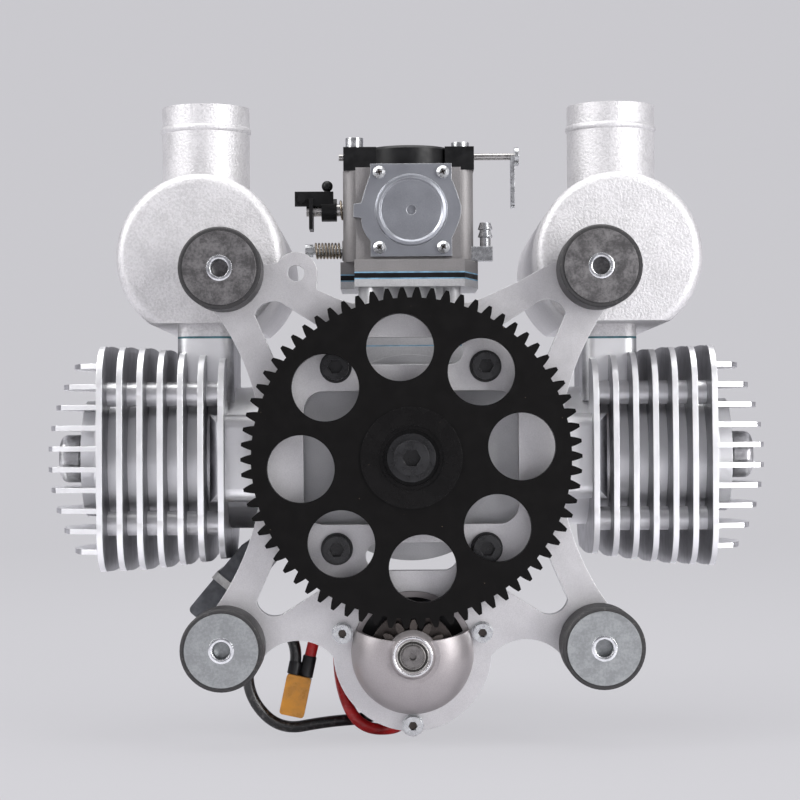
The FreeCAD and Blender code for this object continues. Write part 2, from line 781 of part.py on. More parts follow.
# Starter nose: a domed casting that passes through the plate from its front
def starter_nose():
    r = NOSE_R
    w = NOSE_WALL
    y = plate_rear
    crown = NOSE_REAR_Y + NOSE_CROWN_T
    dome = turned_y([
        (0, NOSE_REAR_Y + NOSE_BOSS_RISE), (NOSE_FLARE_R, NOSE_REAR_Y + NOSE_BOSS_RISE),
        (r - NOSE_SHOULDER[0], NOSE_SHOULDER[1], r, y), (r, nose_flange_rear), (NOSE_FLANGE_R, nose_flange_rear),
        (NOSE_FLANGE_R, nose_flange_front), (0, nose_flange_front)], 0, starter_z)
    hollow = turned_y([
        (0, crown), (NOSE_FLARE_R + NOSE_HOLLOW_FLARE, crown),
        (r - w - NOSE_SHOULDER[0], NOSE_SHOULDER[1] + w, r - w, y), (r - w, nose_flange_front + OVER),
        (0, nose_flange_front + OVER)], 0, starter_z)
    gear_way = rod_y(NOSE_CUT_R, -ISO_LONG, plate_rear)
    boss = turned_y([
        (0, NOSE_REAR_Y), (NOSE_BOSS_R, NOSE_REAR_Y), (NOSE_BOSS_R + NOSE_BOSS_EDGE, NOSE_REAR_Y + w * 0.6),
        (NOSE_FLARE_R - NOSE_BOSS_EDGE, crown), (0, crown)], 0, starter_z)
    nose = fuse([dome.cut(hollow).cut(gear_way), boss])
    nose = nose.cut(rod_y(SMALL_BEARING_R, 0, NOSE_REAR_Y + SMALL_BEARING_T, 0, starter_z))
    nose = nose.cut(rod_y(STARTER_SHAFT_R + NOSE_SHAFT_PLAY, 0, plate_rear, 0, starter_z))
    nose = nose.fuse(rod_y(EAR_R, nose_flange_rear, nose_flange_front, 0, starter_screw_places()[2][1]))
    for x, z in starter_screw_places():
        nose = nose.cut(rod_y(M4_R, 0, nose_flange_front + OVER, x, z))
    add("starter_nose", nose.removeSplitter())
    reach = PLATE_T + NOSE_FLANGE_T - NOSE_SCREW_SHORT
    screw = cap_screw(M4_R, M4_HEAD_R, M4_HEAD_H, reach, M4_HEX_AF, M4_WASHER_R, M4_WASHER_T)
    add("nose_screws", [along(screw, V(0, -1, 0), V(x, plate_rear, z)) for x, z in starter_screw_places()])


def starter_motor():
    y0 = nose_flange_front
    gearbox = ring_y(GEARBOX_R, STARTER_SHAFT_R + GEARBOX_BORE_PLAY, y0, gearbox_front, 0, starter_z)
    inner = rod_y(ROTOR_R, y0 + GEARBOX_END_T, gearbox_front, 0, starter_z)
    add("starter_gearbox", gearbox.cut(inner))
    add("starter_motor_can", ring_y(MOTOR_R, MOTOR_R - MOTOR_WALL, gearbox_front, motor_front, 0, starter_z))
    bell = turned_y([(0, motor_front), (MOTOR_R, motor_front), (MOTOR_R, bell_front - BELL_CHAMFER),
                     (MOTOR_R - BELL_CHAMFER, bell_front), (0, bell_front)], 0, starter_z)
    gland = block(GLAND_X[0], GLAND_X[1], motor_front, bell_front, lead_exit_z - GLAND_EDGE, starter_z)
    add("starter_end_bell", fuse([bell, gland]))
    rotor = rod_y(ROTOR_R, gearbox_front + ROTOR_CLEAR, motor_front - ROTOR_CLEAR, 0, starter_z)
    axle = rod_y(STARTER_SHAFT_R - RUN, NOSE_REAR_Y - AXLE_STANDS, motor_front - GAP, 0, starter_z)
    centre = rod_y(AXLE_CENTRE_R, NOSE_REAR_Y - 2 * AXLE_STANDS, NOSE_REAR_Y + AXLE_CENTRE_DEEP, 0, starter_z)
    add("starter_rotor", rotor.fuse(axle).removeSplitter().cut(centre))


# Crankcase halves
def case_body():
    c = CASE_FRONT
    body = rod_y(CASE_R, CASE_REAR, c)
    sides = block(-pad_face_x, pad_face_x, CASE_REAR, c, -PAD_HALF, PAD_HALF)
    top = block(-TOP_HALF_X, TOP_HALF_X, SPLIT_Y - TOP_HALF_Y, SPLIT_Y + TOP_HALF_Y, 10.0, top_face_z)
    posts = [rod_y(POST_R, plate_front, c, sx * POST_X, sz * POST_Z) for sx in (-1, 1) for sz in (-1, 1)]
    boss = rod_y(CASE_BOSS_R, CASE_BOSS_Y, CASE_REAR + 1.0)
    nose = turned_y([(0, c), (CASE_NOSE_R0, c), (CASE_NOSE_R1, c + 10.0), (CASE_NOSE_R1 - 1.5, CASE_NOSE_Y),
                     (0, CASE_NOSE_Y)])
    ribs = []
    for k in range(6):
        rib = slab_x([(c, 0), (CASE_NOSE_Y - 8.0, 0), (CASE_NOSE_Y - 8.0, CASE_NOSE_R1), (c, CASE_R - 4.0)],
                     -CASE_RIB_T / 2.0, CASE_RIB_T / 2.0)
        rib.rotate(V(0, 0, 0), V(0, 1, 0), 30.0 + 60.0 * k)
        ribs.append(rib)
    whole = fuse([body, sides, top, boss, nose] + posts + ribs)
    cuts = [rod_y(chamber_r, CHAMBER_WALL_REAR, CHAMBER_WALL_FRONT),
            rod_y(BEARING_R, CHAMBER_WALL_REAR - BEARING_T, CHAMBER_WALL_REAR),
            rod_y(BEARING_R, CHAMBER_WALL_FRONT, CHAMBER_WALL_FRONT + BEARING_T),
            rod_y(BEARING_R, CASE_NOSE_Y - BEARING_T, CASE_NOSE_Y + 1.0),
            rod_y(SEAL_R, CASE_BOSS_Y, CASE_BOSS_Y + SEAL_T),
            rod_y(JOURNAL_R + 2.0, 0, CASE_NOSE_Y + 1.0),
            rod_x(BORE_R + 1.0, -pad_face_x - 1.0, 0, LEFT_Y, 0),
            rod_x(BORE_R + 1.0, 0, pad_face_x + 1.0, RIGHT_Y, 0),
            block(-REED_HALF_X - REED_PLAY, REED_HALF_X + REED_PLAY, SPLIT_Y - REED_HALF_Y - REED_PLAY,
                  SPLIT_Y + REED_HALF_Y + REED_PLAY, 0, top_face_z + OVER)]
    for sx in (-1, 1):
        for sz in (-1, 1):
            cuts.append(rod_y(M6_R, 0, c + 1.0, sx * POST_X, sz * POST_Z))
    for sx, c_y in ((-1, LEFT_Y), (1, RIGHT_Y)):
        for dy in (-COLUMN_AT, COLUMN_AT):
            for dz in (-COLUMN_AT, COLUMN_AT):
                hole = rod_x(CYL_SCREW_R, cyl_base_x + BASE_T - CYL_SCREW_LONG - 1.0, pad_face_x + 1.0,
                             c_y + dy, dz)
                cuts.append(hole if sx > 0 else mirrored(hole))
    return whole.cut(Part.makeCompound(cuts)).removeSplitter()


def crankcase():
    whole = case_body()
    big = 120.0
    rear_room = block(-big, big, -big, SPLIT_Y - CASE_GASKET / 2.0, -big, big)
    front_room = block(-big, big, SPLIT_Y + CASE_GASKET / 2.0, 2 * big, -big, big)
    gasket_room = block(-big, big, SPLIT_Y - CASE_GASKET / 2.0, SPLIT_Y + CASE_GASKET / 2.0, -big, big)
    add("crankcase_rear", whole.common(rear_room))
    add("crankcase_front", whole.common(front_room))
    add("crankcase_gasket", whole.common(gasket_room))


def bearings_and_seals():
    places = (CHAMBER_WALL_REAR - BEARING_T, CHAMBER_WALL_FRONT, CASE_NOSE_Y - BEARING_T)
    bearings = [ring_y(BEARING_R, JOURNAL_R + RUN, y, y + BEARING_T) for y in places]
    bearings.append(ring_y(SMALL_BEARING_R, STARTER_SHAFT_R, NOSE_REAR_Y + 0.1,
                           NOSE_REAR_Y + SMALL_BEARING_T, 0, starter_z))
    add("bearings", bearings)
    seals = [ring_y(SEAL_R, JOURNAL_R + RUN, CASE_BOSS_Y + SEAT, CASE_BOSS_Y + SEAL_T),
             ring_y(BEARING_R, JOURNAL_R + RUN, CASE_NOSE_Y + SEAT, CASE_NOSE_Y + SEAL_T)]
    add("shaft_seals", seals)


# Built-up crankshaft, with both pistons at the end of their outward stroke
def web(y0, y1, pin_sides):
    disc = rod_y(WEB_R, y0, y1)
    far = WEB_R + OVER
    for side in pin_sides:
        for sz in (-1, 1):
            flat = block(WEB_FLAT[0], far, y0 - OVER, y1 + OVER, WEB_FLAT[1], far)
            if sz < 0:
                flat = flat.mirror(V(0, 0, 0), V(0, 0, 1))
            disc = disc.cut(flat if side > 0 else mirrored(flat))
    for side in pin_sides:
        disc = disc.cut(rod_y(PIN_R, y0 - 1.0, y1 + 1.0, side * crank_throw, 0))
    return disc


def crankshaft():
    rear = web(rear_web_y, rear_web_y + WEB_T, (-1,))
    rear = rear.fuse(rod_y(JOURNAL_R, hub_front, rear_web_y))
    rear = rear.cut(rod_y(GEAR_BOLT_R, 0, gear_bolt_seat + GEAR_BOLT_LONG))
    add("crankshaft_rear", rear.removeSplitter())
    add("crankshaft_middle", web(mid_web_y, mid_web_y + WEB_T, (-1, 1)))
    front = web(front_web_y, front_web_y + WEB_T, (1,))
    front = front.fuse(rod_y(JOURNAL_R, front_web_y + WEB_T, HUB_Y + HUB_LONG - SHAFT_END_SET_BACK))
    add("crankshaft_front", front.removeSplitter())
    add("crank_pins", [rod_y(PIN_R, rear_web_y, mid_web_y + WEB_T, -crank_throw, 0),
                       rod_y(PIN_R, mid_web_y, front_web_y + WEB_T, crank_throw, 0)])
    ends = []
    for side, c_y in ((-1, LEFT_Y), (1, RIGHT_Y)):
        ends.append(ring_y(BIG_END_R, PIN_R, c_y - BIG_END_W / 2.0, c_y + BIG_END_W / 2.0, side * crank_throw, 0))
    add("conrod_big_ends", ends)


def pistons():
    crown = wrist_x + PISTON_CROWN
    skirt = wrist_x - PISTON_SKIRT
    r = BORE_R - PISTON_GAP
    pistons_both = []
    rings = []
    pins = []
    shanks = []
    for side, c_y in ((-1, LEFT_Y), (1, RIGHT_Y)):
        piston = rod_x(r, skirt, crown, c_y, 0).cut(rod_x(r - PISTON_WALL, skirt - 1.0, crown - 5.0, c_y, 0))
        bosses = rod_y(WRIST_R + 3.0, c_y - r + 1.0, c_y + r - 1.0, wrist_x, 0)
        bosses = bosses.common(rod_x(r - 1.0, skirt, crown, c_y, 0))
        middle = block(0, crown, c_y - SMALL_END_W / 2.0 - 1.0, c_y + SMALL_END_W / 2.0 + 1.0, -BORE_R, BORE_R)
        piston = piston.fuse(bosses.cut(middle)).cut(rod_y(WRIST_R, c_y - BORE_R, c_y + BORE_R, wrist_x, 0))
        grooves = []
        for k in range(2):
            x = crown - 4.0 - 4.0 * k
            groove = rod_x(r + 1.0, x, x + RING_T, c_y, 0).cut(rod_x(r - 1.8, x, x + RING_T, c_y, 0))
            grooves.append(groove)
            ring = rod_x(BORE_R - SEAT, x + SEAT, x + RING_T - SEAT, c_y, 0)
            ring = ring.cut(rod_x(r - 1.7, x, x + RING_T, c_y, 0))
            rings.append(ring if side > 0 else mirrored(ring))
        piston = piston.cut(Part.makeCompound(grooves)).removeSplitter()
        pin = rod_y(WRIST_R, c_y - r + 2.0, c_y + r - 2.0, wrist_x, 0)
        pin = pin.cut(rod_y(WRIST_HOLE_R, c_y - r, c_y + r, wrist_x, 0))
        shank = block(crank_throw + BIG_END_R + GAP, wrist_x - SMALL_END_R + 2.0,
                      c_y - SHANK_T / 2.0, c_y + SHANK_T / 2.0, -SHANK_W / 2.0, SHANK_W / 2.0)
        small_end = rod_y(SMALL_END_R, c_y - SMALL_END_W / 2.0, c_y + SMALL_END_W / 2.0, wrist_x, 0)
        shank = shank.fuse(small_end).cut(rod_y(WRIST_R, c_y - r, c_y + r, wrist_x, 0)).removeSplitter()
        for shape, group in ((piston, pistons_both), (pin, pins), (shank, shanks)):
            group.append(shape if side > 0 else mirrored(shape))
    add("pistons", pistons_both)
    add("piston_rings", rings)
    add("wrist_pins", pins)
    add("conrod_shanks", shanks)


# Finned cylinders
def fin_path(half_z, half_y, c_y):
    r = FIN_CORNER
    k = r * (1.0 - math.sqrt(0.5))
    b = FIN_BOW
    return [
        (c_y + half_y - k, -half_z + k, c_y + half_y - b, -half_z + r),
        (c_y + half_y, 0, c_y + half_y - b, half_z - r),
        (c_y + half_y - k, half_z - k, c_y + half_y - r, half_z - b),
        (c_y, half_z, c_y - half_y + r, half_z - b),
        (c_y - half_y + k, half_z - k, c_y - half_y + b, half_z - r),
        (c_y - half_y, 0, c_y - half_y + b, -half_z + r),
        (c_y - half_y + k, -half_z + k, c_y - half_y + r, -half_z + b),
        (c_y, -half_z, c_y + half_y - r, -half_z + b),
    ]


def head_fin(z, c_y):
    tip = HEAD_TIP_X - HEAD_TIP_R + math.sqrt(HEAD_TIP_R ** 2 - z ** 2)
    root = FIN_FIRST + FIN_PITCH * (FIN_COUNT - 1)
    h = HEAD_FIN_HALF_Y - abs(z) * 0.3
    return slab_z([(root, c_y - h), (tip - 5.0, c_y - h * 0.86), (tip, c_y, tip - 5.0, c_y + h * 0.86),
                   (root, c_y + h)], z - HEAD_FIN_T / 2.0, z + HEAD_FIN_T / 2.0)


def cylinder(c_y):
    last_fin = FIN_FIRST + FIN_PITCH * (FIN_COUNT - 1)
    base = slab_x(rounded(2 * PAD_HALF, 2 * PAD_HALF, 7.0, c_y, 0), cyl_base_x, cyl_base_x + BASE_T)
    barrel = rod_x(BARREL_R, cyl_base_x, last_fin + 4.0, c_y, 0)
    dome = rod_x(BARREL_R - 5.0, last_fin, DECK_X, c_y, 0)
    fins = []
    for n in range(FIN_COUNT):
        x = FIN_FIRST + FIN_PITCH * n
        fins.append(slab_x(fin_path(FIN_HALF_INNER[n], FIN_HALF, c_y), x - FIN_T / 2.0, x + FIN_T / 2.0))
    columns = [rod_x(COLUMN_R, FIN_FIRST, last_fin, c_y + dy, dz)
               for dy in (-COLUMN_AT, COLUMN_AT) for dz in (-COLUMN_AT, COLUMN_AT)]
    head = [head_fin(HEAD_FIN_PITCH * (k - (HEAD_FIN_COUNT - 1) / 2.0), c_y) for k in range(HEAD_FIN_COUNT)]
    boss = block(BOSS_X[0], BOSS_X[1], c_y - BOSS_FACE, c_y, -BOSS_HALF_Z, BOSS_HALF_Z)
    boss = boss.makeFillet(5.0, [e for e in boss.Edges
                                 if abs(e.CenterOfMass.y - (c_y - BOSS_FACE)) < 0.1
                                 and abs(e.CenterOfMass.x - BOSS_X[0]) > 1.0])
    far_boss = boss.mirror(V(0, c_y, 0), V(0, 1, 0))
    port = slab_z(rounded(2 * PORT_HALF_X, 2 * PORT_HALF_Y, 5.0, PORT_X, c_y), BARREL_R - 6.0, PORT_FACE_Z)
    body = fuse([base, barrel, dome, boss, far_boss, port] + fins + columns + head)
    cuts = [rod_x(BORE_R, cyl_base_x - 1.0, CHAMBER_TOP_X - 5.0, c_y, 0),
            rod_x(BORE_R - 6.0, CHAMBER_TOP_X - 5.0, CHAMBER_TOP_X, c_y, 0),
            rod_z(PORT_R, BORE_R - 3.0, PORT_FACE_Z + 1.0, PORT_X, c_y),
            rod_x(PLUG_CLEAR_R, DECK_X - 3.0, HEAD_TIP_X + 1.0, c_y, 0),
            rod_x(PLUG_THREAD_R, CHAMBER_TOP_X - 1.0, DECK_X, c_y, 0)]
    for dy in (-COLUMN_AT, COLUMN_AT):
        for dz in (-COLUMN_AT, COLUMN_AT):
            cuts.append(rod_x(CYL_SCREW_R, cyl_base_x - 1.0, cyl_base_x + BASE_T + 1.0, c_y + dy, dz))
    for dy in (-EXHAUST_SCREW_AT, EXHAUST_SCREW_AT):
        cuts.append(rod_z(M4_R, PORT_FACE_Z - 8.0, PORT_FACE_Z + 1.0, PORT_X, c_y + dy))
    return body.cut(Part.makeCompound(cuts)).removeSplitter()


def base_gasket(c_y):
    sheet = slab_x(rounded(2 * PAD_HALF, 2 * PAD_HALF, 7.0, c_y, 0), pad_face_x, cyl_base_x)
    sheet = sheet.cut(rod_x(BORE_R, 0, cyl_base_x + 1.0, c_y, 0))
    for dy in (-COLUMN_AT, COLUMN_AT):
        for dz in (-COLUMN_AT, COLUMN_AT):
            sheet = sheet.cut(rod_x(CYL_SCREW_R, 0, cyl_base_x + 1.0, c_y + dy, dz))
    return sheet


def cylinders():
    screw = cap_screw(CYL_SCREW_R, CYL_SCREW_HEAD_R, CYL_SCREW_HEAD_H, CYL_SCREW_LONG, 4.0)
    gaskets = []
    screws = []
    plugs = []
    caps = []
    for side, c_y in ((-1, LEFT_Y), (1, RIGHT_Y)):
        flip = mirrored if side < 0 else (lambda shape: shape)
        add("cylinder_left" if side < 0 else "cylinder_right", flip(cylinder(c_y)))
        gaskets.append(flip(base_gasket(c_y)))
        for dy in (-COLUMN_AT, COLUMN_AT):
            for dz in (-COLUMN_AT, COLUMN_AT):
                screws.append(flip(along(screw, V(1, 0, 0), V(cyl_base_x + BASE_T, c_y + dy, dz))))
        thread = rod_x(PLUG_THREAD_R, CHAMBER_TOP_X, DECK_X - 3.0, c_y, 0)
        seat = rod_x(PLUG_SEAT_R, DECK_X - 3.0, DECK_X - 1.5, c_y, 0)
        hexed = slab_x(hexagon(PLUG_HEX_AF, c_y, 0), DECK_X - 1.5, PLUG_CAP_X[0])
        plugs.append(flip(fuse([thread, seat, hexed])))
        caps.append(flip(turned_x([(0, PLUG_CAP_X[0]), (PLUG_CAP_R, PLUG_CAP_X[0]),
                                   (PLUG_CAP_R, PLUG_CAP_X[1] - 3.0),
                                   (PLUG_CAP_R - 0.9, PLUG_CAP_X[1] - 0.9, PLUG_CAP_R - 3.0, PLUG_CAP_X[1]),
                                   (0, PLUG_CAP_X[1])], c_y, 0)))
    add("spark_plugs", plugs)
    add("plug_caps", caps)
    return gaskets, screws


# Mufflers: hollow canisters with an upright outlet
def muffler(c_y):
    """A welded canister: a tube with its port flange, two end caps and the upright outlet."""
    r = MUFFLER_R
    e = MUFFLER_EDGE_R
    y0, y1 = MUFFLER_Y
    w = MUFFLER_WALL
    k = e * (1.0 - math.sqrt(0.5))
    seam0 = y0 + e
    seam1 = y1 - e
    can = turned_y([
        (0, y0), (r - e, y0), (r - k, y0 + k, r, seam0),
        (r, seam1), (r - k, y1 - k, r - e, y1), (0, y1)], MUFFLER_X, MUFFLER_Z)
    low = block(MUFFLER_X - 2 * r, MUFFLER_X + 2 * r, y0 - OVER, y1 + OVER, 0, MUFFLER_FLAT_Z)
    hollow = rod_y(r - w, seam0, seam1, MUFFLER_X, MUFFLER_Z)
    hollow = hollow.cut(block(MUFFLER_X - 2 * r, MUFFLER_X + 2 * r, y0, y1, 0, MUFFLER_FLAT_Z + w))
    can = can.cut(low)
    room = 2 * r + STACK_TOP_Z
    rear_cap = can.common(block(0, room, y0 - OVER, seam0, 0, room))
    front_cap = can.common(block(0, room, seam1, y1 + OVER, 0, room))
    rear_cap = rear_cap.cut(rod_y(r - e, y0 + w, seam0, MUFFLER_X, MUFFLER_Z).cut(
        block(0, room, y0, y1, 0, MUFFLER_FLAT_Z + w)))
    front_cap = front_cap.cut(rod_y(r - e, seam1, y1 - w, MUFFLER_X, MUFFLER_Z).cut(
        block(0, room, y0, y1, 0, MUFFLER_FLAT_Z + w)))
    z0 = PORT_FACE_Z + EXHAUST_GASKET
    flange = slab_z(rounded(2 * PORT_HALF_X, 2 * PORT_HALF_Y, PORT_CORNER_R, PORT_X, c_y), z0, MUFFLER_FLAT_Z + w)
    rear_cap = rear_cap.cut(flange)
    tube = can.common(block(0, room, seam0, seam1, 0, room))
    tube = fuse([tube, flange]).cut(hollow)
    tube = tube.cut(rod_z(STACK_R, MUFFLER_Z, room, MUFFLER_X, STACK_Y))
    tube = tube.cut(rod_z(PORT_R, z0 - OVER, MUFFLER_Z, PORT_X, c_y))
    for dy in (-EXHAUST_SCREW_AT, EXHAUST_SCREW_AT):
        tube = tube.cut(rod_z(M4_R, z0 - OVER, MUFFLER_FLAT_Z + w + OVER, PORT_X, c_y + dy))
    bead = STACK_BEAD_R - STACK_R
    stack = turned_z([
        (STACK_BORE_R, MUFFLER_Z), (STACK_R, MUFFLER_Z), (STACK_R, STACK_BEAD_Z - 2 * bead),
        (STACK_BEAD_R, STACK_BEAD_Z, STACK_R, STACK_BEAD_Z + 2 * bead),
        (STACK_R, STACK_TOP_Z), (STACK_BORE_R, STACK_TOP_Z)], MUFFLER_X, STACK_Y).cut(hollow)
    return [tube.removeSplitter(), rear_cap, front_cap, stack]


def exhaust(gaskets, screws):
    screw = cap_screw(M4_R, M4_HEAD_R, M4_HEAD_H, EXHAUST_SCREW_LONG, M4_HEX_AF)
    for side, c_y in ((-1, LEFT_Y), (1, RIGHT_Y)):
        flip = mirrored if side < 0 else (lambda shape: shape)
        add("muffler_left" if side < 0 else "muffler_right", [flip(shape) for shape in muffler(c_y)])
        z0 = PORT_FACE_Z
        z1 = z0 + EXHAUST_GASKET
        sheet = slab_z(rounded(2 * PORT_HALF_X, 2 * PORT_HALF_Y, PORT_CORNER_R, PORT_X, c_y), z0, z1)
        sheet = sheet.cut(rod_z(PORT_R, z0 - OVER, z1 + OVER, PORT_X, c_y))
        for dy in (-EXHAUST_SCREW_AT, EXHAUST_SCREW_AT):
            sheet = sheet.cut(rod_z(M4_R, z0 - OVER, z1 + OVER, PORT_X, c_y + dy))
            screws.append(flip(along(screw, V(0, 0, 1), V(PORT_X, c_y + dy, MUFFLER_FLAT_Z + MUFFLER_WALL))))
        gaskets.append(flip(sheet))
    add("cylinder_gaskets", gaskets)
    add("cylinder_screws", screws)


# Intake manifold, insulator and gaskets
def flange_path():
    """Outline of the intake flanges, with side wings set back from the front."""
    x = MANIFOLD_HALF_X
    y = CARB_Y - MANIFOLD_FRONT
    wing = FLANGE_WING_X
    set_back = y + FLANGE_WING_BACK
    back = CARB_Y + BODY_HALF_Y
    return [(-x, y), (x, y), (wing, set_back + 2.0), (wing, back), (-wing, back), (-wing, set_back), (-x, set_back)]


def intake():
    foot_z = top_face_z + GASKET_T
    neck = slab_z(rounded(2 * NECK_HALF, 2 * NECK_HALF, NECK_CORNER_R, 0, CARB_Y), foot_z, manifold_z)
    foot = slab_z(rounded(2 * TOP_HALF_X, 2 * TOP_HALF_Y, FOOT_CORNER_R, 0, SPLIT_Y), foot_z, foot_z + FOOT_T)
    flange = slab_z(flange_path(), manifold_z, manifold_z + FLANGE_T)
    columns = [rod_z(NECK_POST_R, foot_z + FOOT_T, manifold_z, sx * (NECK_HALF - NECK_POST_IN), y)
               for sx in (-1, 1) for y in (CARB_Y - NECK_HALF + 1.0, CARB_Y + NECK_HALF - 3.0)]
    ribs = [block(x - NECK_RIB_T / 2.0, x + NECK_RIB_T / 2.0, CARB_Y - NECK_HALF - 3.0, CARB_Y + NECK_HALF + 1.0,
                  foot_z + FOOT_T - GASKET_T, manifold_z) for x in NECK_RIB_X]
    bore = rod_z(INTAKE_BORE_R, top_face_z, body_top_z, 0, CARB_Y)
    for x in CARB_SCREW_X:
        bore = bore.fuse(rod_z(M4_R, manifold_z, body_top_z, x, carb_screw_y))
    add("intake_manifold", fuse([neck, foot, flange] + columns + ribs).cut(bore))
    base = slab_z(rounded(2 * TOP_HALF_X, 2 * TOP_HALF_Y, FOOT_CORNER_R, 0, SPLIT_Y), top_face_z, foot_z)
    sheets = []
    for z in (manifold_z + FLANGE_T, insulator_z + INSULATOR_T):
        sheets.append(slab_z(flange_path(), z, z + GASKET_T).cut(bore))
    sheets.append(base.cut(rod_z(INTAKE_BORE_R, top_face_z - OVER, foot_z + OVER, 0, CARB_Y)))
    add("intake_gaskets", sheets)
    body = slab_z(flange_path(), insulator_z, insulator_z + INSULATOR_T)
    add("insulator_block", body.cut(bore))
    top = top_face_z - REED_SEAT
    wedge = slab_y([(-REED_HALF_X, top), (REED_HALF_X, top), (REED_HALF_X, top - REED_RIM_T),
                    (REED_TIP_HALF_X, reed_tip_z), (-REED_TIP_HALF_X, reed_tip_z), (-REED_HALF_X, top - REED_RIM_T)],
                   SPLIT_Y - REED_HALF_Y, SPLIT_Y + REED_HALF_Y)
    inner = REED_HALF_X - REED_WALL
    low = top - REED_RIM_T
    hollow = slab_y([(-inner, top_face_z), (inner, top_face_z), (inner, low), (0.0, reed_tip_z + REED_TIP_HALF_X),
                     (-inner, low)], SPLIT_Y - REED_HALF_Y + REED_WALL, SPLIT_Y + REED_HALF_Y - REED_WALL)
    add("reed_block", wedge.cut(hollow))


# Carburettor body, covers and choke housing
def cover_path():
    """Outline of the metering cover: a square with a lug at each side, the left one with a step."""
    x = COVER_X
    a = COVER_SCREW_HALF_X + COVER_EDGE
    b = cover_z - COVER_SCREW_HALF_Z - COVER_EDGE
    t = cover_z + COVER_SCREW_HALF_Z + COVER_EDGE
    lug = COVER_LUG
    mid = lug * 0.6
    return [
        (x - a, b), (x + a, b), (x + a, b + 2 * lug),
        (x + a + mid, cover_z - 1.7 * lug, x + a + lug, cover_z - 0.45 * lug),
        (x + a + lug, cover_z + 0.45 * lug),
        (x + a + mid * 0.75, cover_z + 2.2 * lug, x + a, t - 1.7 * lug),
        (x + a, t), (x - a, t), (x - a, t - 1.1 * lug),
        (x - a - mid, cover_z + 2.2 * lug, x - a - lug, cover_z + 0.8 * lug),
        (x - a - lug - COVER_STEP, cover_z + 0.67 * lug), (x - a - lug - COVER_STEP, cover_z - 0.72 * lug),
        (x - a - lug, cover_z - 0.83 * lug),
        (x - a - mid, cover_z - 2.5 * lug, x - a, b + 1.7 * lug),
    ]


def carburettor():
    x0, x1 = BODY_X
    y1 = CARB_Y + BODY_HALF_Y
    p0 = CARB_Y - CARB_POST_BACK
    p1 = CARB_Y + CARB_POST_FRONT
    core = block(x0 + CARB_POST_R, x1 - CARB_POST_R, cover_front + COVER_RIM_IN, y1, carb_body_z, body_top_z)
    columns = [rod_z(CARB_POST_R, carb_body_z, body_top_z, x, y)
               for x in (x0 + CARB_POST_R, x1 - CARB_POST_R) for y in (p0, p1)]
    sides = block(x0 + CARB_POST_IN, x1 - CARB_POST_IN, p0, p1, carb_body_z, body_top_z)
    pump_rim = slab_y(cover_path(), cover_front, cover_front + COVER_RIM_T)
    shaft_boss = rod_x(SHAFT_BOSS_R, SPRING_SEAT_X - 1.0, x0 + CARB_POST_R, CARB_Y, throttle_z)
    idle_boss = rod_x(IDLE_BOSS_R, x0 - IDLE_BOSS_STANDS, x0 + CARB_POST_R, CARB_Y, idle_z)
    flange = slab_z(flange_path(), carb_flange_z, carb_flange_z + CARB_FLANGE_T)
    body = fuse([core, sides, pump_rim, shaft_boss, idle_boss, flange] + columns)
    cuts = [rod_z(INTAKE_BORE_R, carb_flange_z - OVER, body_top_z + OVER, 0, CARB_Y),
            rod_x(THROTTLE_SHAFT_R + RUN, x0 - CARB_POST_R, x1 + OVER, CARB_Y, throttle_z),
            rod_x(IDLE_SCREW_R + RUN, x0 - CARB_POST_R, x0 + CARB_POST_R + 2.0, CARB_Y, idle_z)]
    for x in CARB_SCREW_X:
        cuts.append(rod_z(M4_R, manifold_z, body_top_z + OVER, x, carb_screw_y))
    cuts.append(rod_x(SPRING_ROOM_R, x0 - CARB_POST_R, SPRING_SEAT_X, CARB_Y, throttle_z))
    cuts.append(nipple_elbow())
    add("carburettor_body", body.cut(Part.makeCompound(cuts)).removeSplitter())
    face = cover_front - COVER_SHEET_T
    cover = slab_y(cover_path(), face, cover_front)
    ring = turned_y([(0, face), (COVER_RING_R, face), (COVER_RING_R - 0.5, COVER_Y + 0.3),
                     (COVER_RING_R - COVER_SHEET_T, COVER_Y), (COVER_RING_R - 2.4, face - 0.4), (0, face - 0.4)],
                    COVER_X, cover_z)
    cover = fuse([cover, ring]).cut(rod_y(VENT_R, COVER_Y - OVER, cover_front - VENT_FLOOR, COVER_X, cover_z))
    screws = []
    head = COVER_Y + COVER_T - COVER_SHEET_T
    for sx in (-1, 1):
        for sz in (-1, 1):
            x = COVER_X + sx * COVER_SCREW_HALF_X
            z = cover_z + sz * COVER_SCREW_HALF_Z
            cover = cover.cut(rod_y(COVER_SCREW_R, COVER_Y - OVER, cover_front + OVER, x, z))
            screws.append(turned_y([(0, head - PAN_H), (PAN_R / 2.0, head - PAN_H), (PAN_R - 0.2, head - PAN_H * 0.6),
                                    (PAN_R, head), (COVER_SCREW_R, head), (COVER_SCREW_R, cover_front),
                                    (0, cover_front)], x, z))
    add("metering_cover", cover)
    choke_housing(screws)


